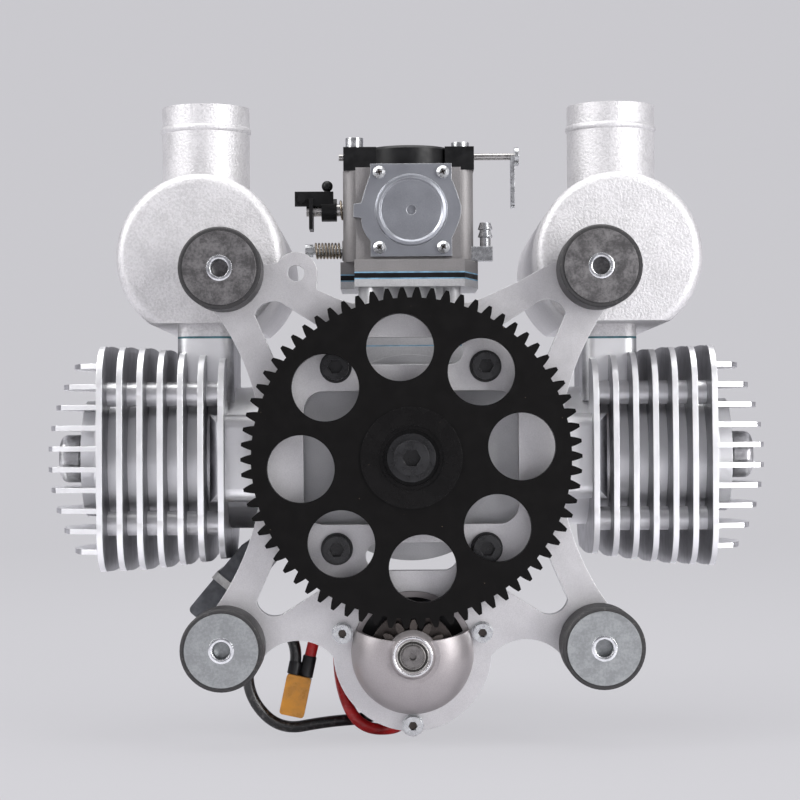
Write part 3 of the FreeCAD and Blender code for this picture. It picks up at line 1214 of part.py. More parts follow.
def choke_housing(screws):
    z0 = body_top_z
    z1 = choke_top_z
    y0 = CARB_Y - CHOKE_FACE
    y1 = CARB_Y + CHOKE_BACK
    left, right = CHOKE_BLOCK_X
    blocks = [block(-right, -left, y0, y1, z0, z1), block(left + CHOKE_NOTCH, right, y0, y1, z0, z1)]
    horn = turned_z([(0, z0), (HORN_R, z0), (HORN_R, z1 - HORN_CHAMFER), (HORN_R - HORN_CHAMFER, z1), (0, z1)],
                    0, CARB_Y)
    body = fuse(blocks + [horn])
    lip = HORN_R - HORN_LIP
    throat = turned_z([(0, z0 - OVER), (INTAKE_BORE_R, z0 - OVER), (INTAKE_BORE_R, z1 - HORN_FLARE_H),
                       (INTAKE_BORE_R + 1.0, z1 - HORN_FLARE_H * 0.3, lip, z1), (lip, z1 + OVER), (0, z1 + OVER)],
                      0, CARB_Y)
    body = body.cut(throat)
    body = body.cut(rod_x(CHOKE_ROD_R + RUN, -right - OVER, right + OVER, CARB_Y, choke_z))
    for x in CARB_SCREW_X:
        body = body.cut(rod_z(M4_R, z0 - OVER, z1 + OVER, x, carb_screw_y))
    sunk = z1 - RIGHT_SCREW_SUNK
    body = body.cut(rod_z(M4_HEAD_R + HEAD_PLAY, sunk, z1 + OVER, CARB_SCREW_X[1], carb_screw_y))
    add("choke_housing", body.removeSplitter())
    for x, z in ((CARB_SCREW_X[0], z1), (CARB_SCREW_X[1], sunk)):
        screw = cap_screw(M4_R, M4_HEAD_R, CARB_SCREW_HEAD_H, z - manifold_z, M4_HEX_AF)
        screws.append(along(screw, V(0, 0, 1), V(x, carb_screw_y, z)))
    add("carburettor_screws", screws)


def spring_x(x0, x1, y, z, coil_r, wire_r, turns):
    """Coil spring along X, as a sleeve with one crest and one valley to a turn."""
    pitch = (x1 - x0) / turns
    crest = coil_r + wire_r
    valley = coil_r + wire_r * 0.2
    outside = []
    for k in range(turns):
        outside += [(valley, x0 + pitch * k), (crest, x0 + pitch * (k + 0.5))]
    outside.append((valley, x1))
    return turned_x([(coil_r - wire_r, x1), (coil_r - wire_r, x0)] + outside, y, z)


def controls():
    x0 = BODY_X[0]
    arm_x0, arm_x1 = THROTTLE_ARM_X
    shaft = rod_x(THROTTLE_SHAFT_R, THROTTLE_SHAFT_X0, BODY_X[1] - 0.5, CARB_Y, throttle_z)
    half_t = THROTTLE_PLATE_T / 2.0
    plate = rod_z(INTAKE_BORE_R - THROTTLE_PLATE_PLAY, -half_t, half_t, 0, 0)
    plate.rotate(V(0, 0, 0), V(1, 0, 0), THROTTLE_REST_DEG)
    plate.translate(V(0, CARB_Y, throttle_z))
    add("throttle_shaft", [shaft.cut(plate), plate])
    arm_z = throttle_z + THROTTLE_ARM_UP
    arm_top = arm_z + THROTTLE_ARM_H / 2.0
    arm_y = CARB_Y - THROTTLE_ARM_T
    arm = block(arm_x0, arm_x1, arm_y, CARB_Y, arm_z - THROTTLE_ARM_H / 2.0, arm_top)
    drop = block(STOP_ARM_X[0], STOP_ARM_X[1], CARB_Y - STOP_ARM_Y[0], CARB_Y + STOP_ARM_Y[1],
                 throttle_z - STOP_ARM_DROP, throttle_z + THROTTLE_ARM_UP)
    drum = rod_x(SPRING_DRUM_R, SPRING_DRUM_X[0], SPRING_DRUM_X[1], CARB_Y, throttle_z)
    lever = fuse([arm, drop, drum]).cut(rod_x(THROTTLE_SHAFT_R, arm_x0, 0, CARB_Y, throttle_z))
    ball_y = CARB_Y - THROTTLE_ARM_T / 2.0
    ball = fuse([Part.makeSphere(BALL_R, V(BALL_X, ball_y, arm_top + BALL_R)),
                 rod_z(BALL_STEM_R, arm_top, arm_top + BALL_R, BALL_X, ball_y)])
    pin = rod_y(ARM_SCREW_R, arm_y - ARM_SCREW_H, arm_y, ARM_SCREW_X, arm_z)
    add("throttle_lever", [lever, ball, pin])
    springs = [spring_x(RETURN_SPRING_X0, SPRING_SEAT_X - SEAT, CARB_Y, throttle_z,
                        RETURN_SPRING_R, RETURN_WIRE_R, RETURN_SPRING_TURNS)]
    head_x = IDLE_SCREW_X[0] + IDLE_HEAD_T
    idle = fuse([rod_x(IDLE_SCREW_R, head_x, IDLE_SCREW_X[1], CARB_Y, idle_z),
                 rod_x(IDLE_HEAD_R, IDLE_SCREW_X[0], head_x, CARB_Y, idle_z)])
    add("idle_screw", idle)
    springs.append(spring_x(head_x + SPRING_PLAY, x0 - IDLE_BOSS_STANDS - SEAT, CARB_Y, idle_z,
                            IDLE_SPRING_R, IDLE_WIRE_R, IDLE_SPRING_TURNS))
    add("control_springs", springs)
    rod = rod_x(CHOKE_ROD_R, -CHOKE_BLOCK_X[1] - CHOKE_ROD_STANDS, CHOKE_DISC_X, CARB_Y, choke_z)
    disc = rod_x(CHOKE_DISC_R, CHOKE_DISC_X, CHOKE_DISC_X + CHOKE_DISC_T, CARB_Y, choke_z)
    wide = CHOKE_LEVER_W / 2.0
    low = choke_z - CHOKE_LEVER_LONG
    lever = slab_x([(CARB_Y - wide, choke_z), (CARB_Y - wide * 0.8, low + wide * 0.8),
                    (CARB_Y, low, CARB_Y + wide * 0.8, low + wide * 0.8), (CARB_Y + wide, choke_z)],
                   CHOKE_DISC_X - CHOKE_DISC_T, CHOKE_DISC_X)
    add("choke_lever", fuse([disc, lever]).cut(rod_x(CHOKE_ROD_R, 0, CHOKE_DISC_X, CARB_Y, choke_z)))
    half_t = CHOKE_PLATE_T / 2.0
    butterfly = rod_z(INTAKE_BORE_R - CHOKE_PLATE_PLAY, choke_z - half_t, choke_z + half_t, 0, CARB_Y)
    add("choke_shaft", [rod.cut(butterfly), butterfly])


def nipple_elbow():
    y = CARB_Y - NIPPLE_BACK
    half = NIPPLE_SIDE / 2.0
    return block(BODY_X[1] - 1.0, NIPPLE_X + half, y - half, y + half, nipple_z - half, nipple_z + half)


def fuel_nipple():
    y = CARB_Y - NIPPLE_BACK
    z0 = nipple_z + NIPPLE_SIDE / 2.0 - 0.5
    r = NIPPLE_TUBE_R
    b = NIPPLE_BARB_R
    first = z0 + NIPPLE_NECK
    second = first + NIPPLE_BARB_PITCH
    top = second + NIPPLE_BARB_PITCH
    stem = turned_z([(0, z0), (r, z0), (r, first), (b, first + 0.4), (r, second), (b, second + 0.4), (r, top),
                     (0, top)], NIPPLE_X, y)
    body = fuse([nipple_elbow(), stem]).cut(rod_z(NIPPLE_BORE_R, nipple_z, top + OVER, NIPPLE_X, y))
    add("fuel_nipple", body)


# Propeller hub, front plate and bolts
def propeller_side():
    hub_front_y = HUB_Y + HUB_LONG
    shaft_end = hub_front_y - SHAFT_END_SET_BACK
    h = turned_y([(0, HUB_Y), (HUB_NECK_R, HUB_Y), (HUB_R - HUB_CHAMFER, HUB_Y + HUB_TAPER_LONG),
                  (HUB_R, HUB_Y + HUB_TAPER_LONG + HUB_CHAMFER), (HUB_R, hub_front_y), (0, hub_front_y)])
    h = h.cut(rod_y(JOURNAL_R, 0, shaft_end)).cut(rod_y(SPINNER_HOLE_R, 0, hub_front_y + OVER))
    plate_y = hub_front_y + SEAT
    face_y = plate_y + PROP_PLATE_T
    plate = turned_y([(SPINNER_HOLE_R, plate_y), (HUB_R, plate_y), (HUB_R, face_y - PROP_PLATE_CHAMFER),
                      (HUB_R - PROP_PLATE_CHAMFER, face_y), (SPINNER_HOLE_R, face_y)])
    screws = []
    screw = cap_screw(PROP_BOLT_R, PROP_BOLT_HEAD_R, PROP_BOLT_HEAD_H, PROP_BOLT_LONG, PROP_BOLT_HEX_AF)
    for k in range(PROP_BOLT_COUNT):
        a = math.radians(30.0 + 360.0 * k / PROP_BOLT_COUNT)
        x = PROP_BOLT_PCD / 2.0 * math.cos(a)
        z = PROP_BOLT_PCD / 2.0 * math.sin(a)
        h = h.cut(rod_y(PROP_BOLT_R, face_y - PROP_BOLT_LONG - PROP_BOLT_TIP, hub_front_y + OVER, x, z))
        plate = plate.cut(rod_y(PROP_BOLT_R, plate_y - OVER, face_y + OVER, x, z))
        screws.append(along(screw, V(0, 1, 0), V(x, face_y, z)))
    add("propeller_hub", h)
    add("propeller_plate", plate)
    add("propeller_bolts", screws)


# Ignition module with its strap
def ignition():
    y0 = MODULE_REAR
    y1 = MODULE_REAR + MODULE_DEPTH
    case = slab_y(rounded(MODULE_LONG, MODULE_SHORT, 2.0), y0, y1)
    t = STRAP_T
    strap_out = block(-STRAP_W / 2.0, STRAP_W / 2.0, y0 - t, y1 + t, -MODULE_SHORT / 2.0 - t, MODULE_SHORT / 2.0 + t)
    strap = strap_out.cut(block(-STRAP_W, STRAP_W, y0, y1, -MODULE_SHORT / 2.0, MODULE_SHORT / 2.0))
    for shape in (case, strap):
        shape.rotate(V(0, 0, 0), V(0, -1, 0), MODULE_TURN)
        shape.translate(V(MODULE_AT[0], 0, MODULE_AT[1]))
    add("ignition_module", case)
    add("module_strap", strap)


# Starter leads and their connector
def cord(name, points, r):
    """Tube of straight runs joined by tangent arcs, as large as the runs beside them allow."""
    edges = []
    radii = []
    last = points[0]
    for before, corner, after in zip(points, points[1:], points[2:]):
        into = corner - before
        out = after - corner
        turn = into.getAngle(out)
        shorter = min(into.Length, out.Length)
        trim = shorter * ARC_SHARE
        radius = trim / math.tan(turn / 2.0)
        radii.append(radius)
        first = corner - into * (trim / into.Length)
        third = corner + out * (trim / out.Length)
        inward = (first + third) * 0.5 - corner
        reach = math.hypot(radius, trim) - radius
        middle = corner + inward * (reach / inward.Length)
        edges.append(Part.LineSegment(last, first).toShape())
        edges.append(Part.Arc(first, middle, third).toShape())
        last = third
    edges.append(Part.LineSegment(last, points[-1]).toShape())
    path = Part.Wire(edges)
    start = points[1] - points[0]
    profile = Part.Wire(Part.makeCircle(r, points[0], start))
    tube = path.makePipeShell([profile], True, False)
    print(name, "length %.1f" % path.Length, "volume share %.4f" % (tube.Volume / (math.pi * r * r * path.Length)),
          "radii", " ".join("%.1f" % radius for radius in radii))
    return tube


def leads():
    a = math.radians(CONNECTOR_TURN)
    axis = V(math.cos(a), 0, math.sin(a))
    wide = V(-math.sin(a), 0, math.cos(a))
    centre = V(*CONNECTOR_AT)
    body = slab_y(rounded(CONNECTOR_LONG, CONNECTOR_WIDE, CONNECTOR_CORNER_R), -CONNECTOR_T / 2.0, CONNECTOR_T / 2.0)
    body.rotate(V(0, 0, 0), V(0, -1, 0), CONNECTOR_TURN)
    body.translate(centre)
    add("lead_connector", body)
    face = centre - axis * (CONNECTOR_LONG / 2.0)
    red = ("starter_lead_red", RED_ROUTE, RED_EXIT_X, RED_TAIL, 1)
    black = ("starter_lead_black", BLACK_ROUTE, BLACK_EXIT_X, BLACK_TAIL, -1)
    for name, route, x, tail, up in (red, black):
        start = V(x, motor_front, lead_exit_z)
        end = face + wide * (up * CONNECTOR_PITCH / 2.0)
        points = [start, start - V(0, LEAD_STRAIGHT, 0)]
        points += [V(*p) for p in route]
        points += [end - axis * tail, end]
        add(name, cord(name, points, LEAD_R))


isolators()
mount_plate()
plate_screws()
starter_gear()
pinion()
starter_nose()
starter_motor()
crankcase()
bearings_and_seals()
crankshaft()
pistons()
exhaust(*cylinders())
intake()
carburettor()
controls()
fuel_nipple()
propeller_side()
ignition()
leads()

os.makedirs("parts", exist_ok=True)
for name, shape in nodes.items():
    shape.exportStep("parts/" + name + ".step")
    box = shape.BoundBox
    print(name, len(shape.Solids), "valid" if shape.isValid() else "INVALID",
          "x %.1f %.1f y %.1f %.1f z %.1f %.1f" % (box.XMin, box.XMax, box.YMin, box.YMax, box.ZMin, box.ZMax))
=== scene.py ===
import json
import math

import bmesh
import bpy
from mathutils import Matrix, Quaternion, Vector


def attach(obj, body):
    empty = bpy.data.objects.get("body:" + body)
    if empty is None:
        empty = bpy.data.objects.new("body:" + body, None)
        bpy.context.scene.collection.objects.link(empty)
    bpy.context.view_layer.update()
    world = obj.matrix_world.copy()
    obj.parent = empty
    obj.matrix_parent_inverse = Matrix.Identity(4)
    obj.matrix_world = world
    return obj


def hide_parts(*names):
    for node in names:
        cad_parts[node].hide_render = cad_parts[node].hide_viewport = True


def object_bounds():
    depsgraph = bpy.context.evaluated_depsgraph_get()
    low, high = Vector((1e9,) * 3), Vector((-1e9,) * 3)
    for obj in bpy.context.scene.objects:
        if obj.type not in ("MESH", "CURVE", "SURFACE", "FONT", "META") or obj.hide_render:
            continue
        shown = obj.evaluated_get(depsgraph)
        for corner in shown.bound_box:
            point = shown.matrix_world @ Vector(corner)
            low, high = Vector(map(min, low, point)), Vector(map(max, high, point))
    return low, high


# Dresses the flat twin engine. Metres, in the frame of the solids: +Z up, +Y to the propeller.

MM = 0.001

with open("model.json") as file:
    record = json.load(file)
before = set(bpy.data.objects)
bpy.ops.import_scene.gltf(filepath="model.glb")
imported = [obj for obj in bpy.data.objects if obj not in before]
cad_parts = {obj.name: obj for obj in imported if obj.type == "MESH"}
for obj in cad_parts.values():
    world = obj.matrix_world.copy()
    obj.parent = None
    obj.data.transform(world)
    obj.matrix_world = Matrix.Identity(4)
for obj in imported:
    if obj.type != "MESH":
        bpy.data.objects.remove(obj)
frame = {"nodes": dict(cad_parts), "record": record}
cad_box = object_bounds()
nodes = frame["nodes"]


# Shader arithmetic
BEVEL_SAMPLES = 4


class Signal:
    """A shader socket that can be used in sums."""

    def __init__(self, finish, socket):
        self.finish = finish
        self.socket = socket

    def __add__(self, other):
        return self.finish.sum("ADD", self, other)

    def __sub__(self, other):
        return self.finish.sum("SUBTRACT", self, other)

    def __mul__(self, other):
        return self.finish.sum("MULTIPLY", self, other)

    def __rsub__(self, other):
        return self.finish.sum("SUBTRACT", other, self)

    def __pow__(self, other):
        return self.finish.sum("POWER", self, other)

    def size(self):
        return self.finish.sum("ABSOLUTE", self, 0.0)

    def step(self, low, high, to_low=0.0, to_high=1.0):
        """Smooth change from to_low to to_high as the value goes from low to high."""
        return self.finish.node("ShaderNodeMapRange", {"interpolation_type": "SMOOTHSTEP"},
                                {0: self, 1: low, 2: high, 3: to_low, 4: to_high})


class Finish:
    """One surface finish. Every node beside the shader comes from node()."""

    def __init__(self, name, colour, roughness, metallic=0.0, **constants):
        self.material = bpy.data.materials.new(name)
        self.material.use_nodes = True
        self.tree = self.material.node_tree
        self.shader = self.tree.nodes["Principled BSDF"]
        self.place = self.node("ShaderNodeTexCoord", out="Object")
        self.set("Base Color", colour)
        self.set("Roughness", roughness)
        self.set("Metallic", metallic)
        for key, value in constants.items():
            self.set(key.replace("_", " ").title(), value)

    def set(self, key, value):
        """Sets an input of the shader, from a number, a colour or a signal."""
        self.feed(self.shader.inputs[key], value)

    def feed(self, socket, value):
        if isinstance(value, Signal):
            self.tree.links.new(value.socket, socket)
        elif isinstance(value, tuple) and len(value) == 3 and socket.type == "RGBA":
            socket.default_value = (*value, 1.0)
        else:
            socket.default_value = value

    def node(self, kind, settings=None, values=None, out=0):
        made = self.tree.nodes.new(kind)
        for key, value in (settings or {}).items():
            setattr(made, key, value)
        for key, value in (values or {}).items():
            self.feed(made.inputs[key], value)
        return Signal(self, made.outputs[out])

    def sum(self, operation, a, b):
        return self.node("ShaderNodeMath", {"operation": operation}, {0: a, 1: b})

    def blend(self, share, low, high):
        """Colour between low and high."""
        return self.node("ShaderNodeMix", {"data_type": "RGBA"}, {0: share, 6: low, 7: high}, 2)

    def noise(self, size, detail=2.0, roughness=0.5):
        return self.node("ShaderNodeTexNoise", None, {"Vector": self.place, "Scale": 1.0 / size,
                                                      "Detail": detail, "Roughness": roughness})

    def cells(self, size):
        """Distance to the middle of the nearest of many scattered spots."""
        values = {"Vector": self.place, "Scale": 1.0 / size}
        return self.node("ShaderNodeTexVoronoi", None, values, "Distance")

    def along(self, axis):
        """Part of the surface's own normal along X, Y or Z."""
        normal = self.node("ShaderNodeTexCoord", out="Normal")
        return self.node("ShaderNodeSeparateXYZ", None, {0: normal}, axis)

    def at(self, axis):
        """Part of the surface point's place along X, Y or Z."""
        return self.node("ShaderNodeSeparateXYZ", None, {0: self.place}, axis)

    def rounded(self, radius):
        """The surface's normal, as if its edges were rounded by that radius."""
        return self.node("ShaderNodeBevel", {"samples": BEVEL_SAMPLES}, {"Radius": radius})

    def relief(self, height, distance, edge=0.0):
        """Bumps of that depth, over edges that look rounded by that radius."""
        values = {"Height": height, "Distance": distance, "Strength": 1.0}
        if edge:
            values["Normal"] = self.rounded(edge)
        self.set("Normal", self.node("ShaderNodeBump", None, values))

    def edges(self, radius):
        """Nearly 1 where the surface turns a corner within that radius, and 0 on its flats."""
        flat = self.node("ShaderNodeNewGeometry", out="Normal")
        soft = self.rounded(radius)
        alike = self.node("ShaderNodeVectorMath", {"operation": "DOT_PRODUCT"}, {0: flat, 1: soft}, "Value")
        return 1 - alike

    def from_axis(self):
        """Distance from the crank's axis."""
        x = self.at(0)
        z = self.at(2)
        return (x * x + z * z) ** 0.5


def shade(colour, factor):
    return tuple(c * factor for c in colour)


# Places of the solids that the finishes and the small pieces need
HUB_R = 18.7 * MM
ISO_AT = 70 * MM
STARTER_Z = -72.625 * MM
REAR = (0, -1, 0)

# Finishes
# Bright edge colour and width: part worn metal on machined corners, part painted edge highlight.
WORN_AND_HIGHLIGHT_METAL = (0.93, 0.93, 0.94)
WORN_AND_HIGHLIGHT_WIDTH = 0.35 * MM
HUB_EDGE = 0.4 * MM
DUST = (0.10, 0.09, 0.085)
DUST_ON_STEEL = (0.22, 0.18, 0.13)
DUST_ON_LEADS = (0.6, 0.56, 0.55)


def blasted(name, colour, roughness, metallic, grain, depth, spread=0.12, wear_and_highlight=0.0):
    """Sand or bead blasted metal: fine pits over faint clouds, with bright edges that are partly worn
    machined corners and partly a painted highlight.
    """
    f = Finish(name, colour, roughness, metallic)
    clouds = f.noise(9 * MM, 3.0)
    pits = f.noise(grain, 3.0, 0.65)
    mixed = clouds * 0.3 + pits * 0.7
    body = f.blend(mixed.step(0.34, 0.64), shade(colour, 1 - spread), shade(colour, 1 + spread * 0.5))
    # Edges turn bright: part real wear, part painted highlight along every corner.
    if wear_and_highlight:
        body = f.blend(f.edges(WORN_AND_HIGHLIGHT_WIDTH).step(0.04, 0.2) * wear_and_highlight, body, WORN_AND_HIGHLIGHT_METAL)
    f.set("Base Color", body)
    f.set("Roughness", mixed.step(0.3, 0.7, roughness - 0.06, roughness + 0.08))
    f.relief(pits, depth, 0.25 * MM)
    return f.material


def turned(name, colour, roughness, metallic=1.0):
    """Machined or plated metal with faint mottling."""
    f = Finish(name, colour, roughness, metallic)
    mottle = f.noise(2.5 * MM, 4.0, 0.6)
    grains = f.noise(0.5 * MM, 2.0)
    f.set("Base Color", f.blend(mottle.step(0.35, 0.65), shade(colour, 0.82), shade(colour, 1.08)))
    f.set("Roughness", mottle.step(0.3, 0.7, roughness - 0.07, roughness + 0.1))
    f.relief(grains, 0.006 * MM, 0.2 * MM)
    return f.material


def fins(name):
    """Die cast cooling fins: darker faces as painted shade between the fins, and brighter rims as a painted
    highlight.
    """
    # Painted light: the face colour is painted shade between the fins, and the rim colour is a painted
    # highlight.
    face = (0.44, 0.44, 0.46)
    painted_rim_highlight = (0.88, 0.88, 0.89)
    f = Finish(name, face, 0.42, 0.8)
    facing = f.along(0).size()
    grain = f.noise(0.7 * MM, 3.0, 0.65)
    flow = f.noise(7 * MM, 3.0)
    # Surfaces that do not face along X, the fin rims, get the painted highlight; the fin faces keep the
    # painted shade.
    bright = 1 - facing.step(0.35, 0.8)
    patched = f.blend((flow * 0.7 + grain * 0.3).step(0.36, 0.64), shade(face, 0.75), shade(face, 1.2))
    f.set("Base Color", f.blend(bright, patched, painted_rim_highlight))
    f.set("Roughness", (flow * 0.5 + grain * 0.5).step(0.3, 0.7, 0.3, 0.46))
    f.relief(grain * 0.6 + flow * 0.4, 0.06 * MM, 0.3 * MM)
    return f.material


def gear_black(name, polished):
    """Black oxided gear steel with a few dust specks, and a hub that is polished out to that radius."""
    base = (0.0032, 0.0029, 0.0029)
    f = Finish(name, base, 0.5, 0.0)
    f.set("Specular IOR Level", 0.09)
    specks = 1 - f.cells(2.6 * MM).step(0.03, 0.06)
    thinned = specks * f.noise(5 * MM, 2.0).step(0.56, 0.66)
    haze = f.noise(6 * MM, 4.0, 0.6)
    grain = f.noise(0.4 * MM, 2.0)
    plain = f.blend(haze.step(0.4, 0.7), base, shade(base, 1.3))
    f.set("Base Color", f.blend(thinned, plain, DUST_ON_STEEL))
    hub = 1 - f.from_axis().step(polished, polished + HUB_EDGE)
    f.set("Roughness", haze.step(0.3, 0.7, 0.46, 0.56) - hub * 0.24)
    f.set("Coat Weight", hub * 0.3)
    f.set("Coat Roughness", 0.14)
    f.relief(grain, 0.012 * MM, 0.3 * MM)
    return f.material


def dull(name, colour, roughness, spread=0.25, metallic=0.0, shine=0.5):
    """Plastic, rubber, paint or paper."""
    f = Finish(name, colour, roughness, metallic)
    f.set("Specular IOR Level", shine)
    patches = f.noise(4 * MM, 4.0, 0.6)
    grains = f.noise(0.5 * MM, 2.0)
    body = f.blend(patches.step(0.35, 0.65), shade(colour, 1 - spread), shade(colour, 1 + spread))
    f.set("Base Color", body)
    f.set("Roughness", patches.step(0.3, 0.7, roughness - 0.06, roughness + 0.08))
    f.relief(grains, 0.01 * MM, 0.2 * MM)
    return f.material


def rubber(name):
    """Moulded black rubber with a little dust in it."""
    base = (0.022, 0.021, 0.022)
    f = Finish(name, base, 0.6)
    grain = f.noise(0.6 * MM, 3.0, 0.65)
    dust = f.noise(1.2 * MM, 4.0, 0.7).step(0.58, 0.72)
    f.set("Base Color", f.blend(dust, base, DUST))
    f.set("Roughness", grain.step(0.3, 0.7, 0.5, 0.68))
    f.relief(grain, 0.03 * MM)
    return f.material


def disc_zinc(name):
    """Zinc plated disc of an isolator: grey crystals, darker on the upper pair."""
    pale = (0.27, 0.28, 0.285)
    dark = (0.115, 0.111, 0.112)
    f = Finish(name, pale, 0.42, 0.8)
    crystals = f.noise(1.1 * MM, 4.0, 0.7)
    clouds = f.noise(5 * MM, 3.0)
    upper = f.at(2).step(-10 * MM, 10 * MM)
    base = f.blend(upper, pale, dark)
    light = f.blend(upper, shade(pale, 1.3), shade(dark, 1.9))
    f.set("Base Color", f.blend((crystals * 0.6 + clouds * 0.4).step(0.4, 0.62), base, light))
    f.set("Roughness", clouds.step(0.3, 0.7, 0.32, 0.46))
    f.relief(crystals, 0.015 * MM, 0.25 * MM)
    return f.material


def silicone(name, colour):
    """Silicone insulation: soft gloss, slightly dusty, with faint darker streaks."""
    f = Finish(name, colour, 0.34, coat_weight=0.25, coat_roughness=0.3)
    dust = f.noise(1.6 * MM, 4.0, 0.65).step(0.5, 0.72)
    streaks = f.noise(5 * MM, 2.0)
    body = f.blend(streaks.step(0.3, 0.7), shade(colour, 0.78), shade(colour, 1.08))
    f.set("Base Color", f.blend(dust * 0.12, body, DUST_ON_LEADS))
    f.set("Roughness", dust * 0.2 + 0.3)
    f.relief(f.noise(0.5 * MM, 2.0), 0.01 * MM)
    return f.material


FINISHES = {
    "plate_aluminium": blasted("plate aluminium", (0.61, 0.60, 0.61), 0.42, 0.84, 0.3 * MM, 0.035 * MM,
                               wear_and_highlight=0.8),
    "cast_aluminium": blasted("blasted casting", (0.56, 0.56, 0.57), 0.42, 0.6, 0.4 * MM, 0.05 * MM),
    "muffler_aluminium": blasted("muffler casting", (0.61, 0.60, 0.61), 0.46, 0.5, 0.9 * MM, 0.26 * MM,
                                 spread=0.14),
    "carb_alloy": blasted("carburettor casting", (0.25, 0.24, 0.24), 0.5, 0.55, 0.5 * MM, 0.09 * MM),
    "fin_aluminium": fins("fin casting"),
    "piston_alloy": turned("piston alloy", (0.62, 0.62, 0.63), 0.3),
    "bearing_steel": turned("bearing steel", (0.45, 0.44, 0.42), 0.28),
    "ground_steel": turned("ground steel", (0.40, 0.39, 0.38), 0.26),
    "spring_steel": turned("spring steel", (0.42, 0.36, 0.29), 0.3),
    "dark_steel": turned("oiled dark steel", (0.07, 0.06, 0.055), 0.32, 0.8),
    "cover_metal": blasted("cover plating", (0.33, 0.34, 0.37), 0.34, 0.9, 0.25 * MM, 0.012 * MM, wear_and_highlight=0.5),
    "cap_metal": turned("plug cap metal", (0.55, 0.55, 0.56), 0.35),
    "brass": turned("brass", (0.62, 0.43, 0.17), 0.3),
    "zinc": turned("zinc plating", (0.56, 0.57, 0.58), 0.26),
    "black_steel": dull("black oxide", (0.008, 0.008, 0.009), 0.3),
    "black_anodised": dull("black anodising", (0.010, 0.010, 0.011), 0.36, metallic=0.2),
    "motor_paint": dull("motor paint", (0.05, 0.05, 0.052), 0.4),
    "black_plastic": dull("black plastic", (0.004, 0.004, 0.0045), 0.4, shine=0.25),
    "module_grey": dull("module case", (0.10, 0.105, 0.115), 0.5),
    "gasket_blue": dull("blue gasket", (0.17, 0.33, 0.47), 0.6),
    "gasket_teal": dull("teal gasket", (0.05, 0.14, 0.17), 0.6),
    "strap_clear": dull("strap", (0.62, 0.62, 0.60), 0.35),
    "rubber_black": rubber("isolator rubber"),
    "lead_red": silicone("red lead", (0.62, 0.018, 0.02)),
    "lead_black": silicone("black lead", (0.010, 0.010, 0.011)),
    "amber_plastic": dull("amber plastic", (0.48, 0.20, 0.015), 0.3, spread=0.15),
}
NODE_FINISHES = {
    "isolator_discs": disc_zinc("isolator disc"),
    "starter_gear": gear_black("gear steel", HUB_R),
    "starter_rotor": turned("shaft end", (0.20, 0.19, 0.185), 0.3),
    "starter_nose": blasted("nose casting", (0.36, 0.335, 0.34), 0.44, 0.75, 0.4 * MM, 0.06 * MM),
}


def dress_nodes():
    """Gives each solid's node the finish of its slot."""
    for part in frame["record"]["subparts"]:
        piece = nodes[part["node"]]
        piece.data.materials.clear()
        piece.data.materials.append(NODE_FINISHES.get(part["node"], FINISHES[part["material_slot"]]))


dress_nodes()


# Small pieces. Profiles hold radius and distance towards the rear, in mm
SAME_PLACE = 1e-7
SHARP_FROM = 0.6
INSERT_RIM = ((3.39, -0.6), (3.39, 0.05), (3.6, 0.15), (4.3, 0.15), (4.75, 0.02), (4.75, -0.3))
THREAD_CORE_R = 3.2
THREAD_R = 3.39
THREAD_PITCH = 1.1
THREAD_TURNS = 5
THREAD_SLEEVE = ((3.395, -5.95), (3.395, -0.7))
OUTER_RACE = ((5.97, -0.02), (5.97, 0.1), (5.85, 0.2), (5.6, 0.2), (5.5, -0.02))
BEARING_SHIELD = ((5.5, -0.02), (5.5, 0.05), (5.0, 0.1), (4.65, -0.02))
INNER_RACE = ((4.6, -0.02), (4.6, 0.2), (4.4, 0.3), (4.05, 0.3), (4.05, -0.02))
BOSS_RING = ((6.5, -0.02), (6.5, 0.1), (6.7, 0.22), (7.1, 0.22), (7.3, 0.1), (7.3, -0.02))
BEARING_Y = 1.1 * MM
BOSS_Y = 1.0 * MM
COVER_X = 0.8
COVER_Z = 95.4
COVER_SCREW_X = 12.3
COVER_SCREW_Z = 14.55
CROSS_FACE_Y = 42.97
CROSS_BACK_Y = 43.4
CROSS_ARM = ((-1.25, -0.16), (-0.4, -0.34), (0.4, -0.34), (1.25, -0.16), (1.25, 0.16), (0.4, 0.34),
             (-0.4, 0.34), (-1.25, 0.16))
NOSE_SCREW_AT = 27.1 * MM
NOSE_SCREW_ANGLES = (15.5, 164.5, 270.0)
SOCKET_Y = 17.15 * MM
# Dark disc at each socket's bottom, painted shade of the socket's depth.
SOCKET_SHADE_DISC = ((0.02, 0), (1.45, 0), (1.45, 0.06), (0.02, 0.06))
SPRING_WIRE_R = 0.42 * MM
SPRING_Y = 68
SPRING_STEPS = 16
# Each spring's two ends along X, its height, its radius and its turns
SPRINGS = ((-27.35, -23.25, 97.7, 3.6, 3), (-37.25, -26.85, 81.6, 2.9, 8))


def put(name, form, slot, body="engine", hides=(), finish=None):
    """Adds a piece to the scene: a mesh or a curve, on a body, in a slot's finish."""
    made = bpy.data.objects.new(name, form)
    form.materials.append(finish or FINISHES[slot])
    bpy.context.scene.collection.objects.link(made)
    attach(made, body)
    if hides:
        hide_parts(*hides)
    return made


def crisp(bm, name):
    """Mesh with smooth faces and sharp corners."""
    bmesh.ops.remove_doubles(bm, verts=bm.verts, dist=SAME_PLACE)
    bmesh.ops.recalc_face_normals(bm, faces=bm.faces)
    for face in bm.faces:
        face.smooth = True
    for edge in bm.edges:
        edge.smooth = len(edge.link_faces) == 2 and edge.calc_face_angle(0.0) < SHARP_FROM
    mesh = bpy.data.meshes.new(name)
    bm.to_mesh(mesh)
    bm.free()
    return mesh


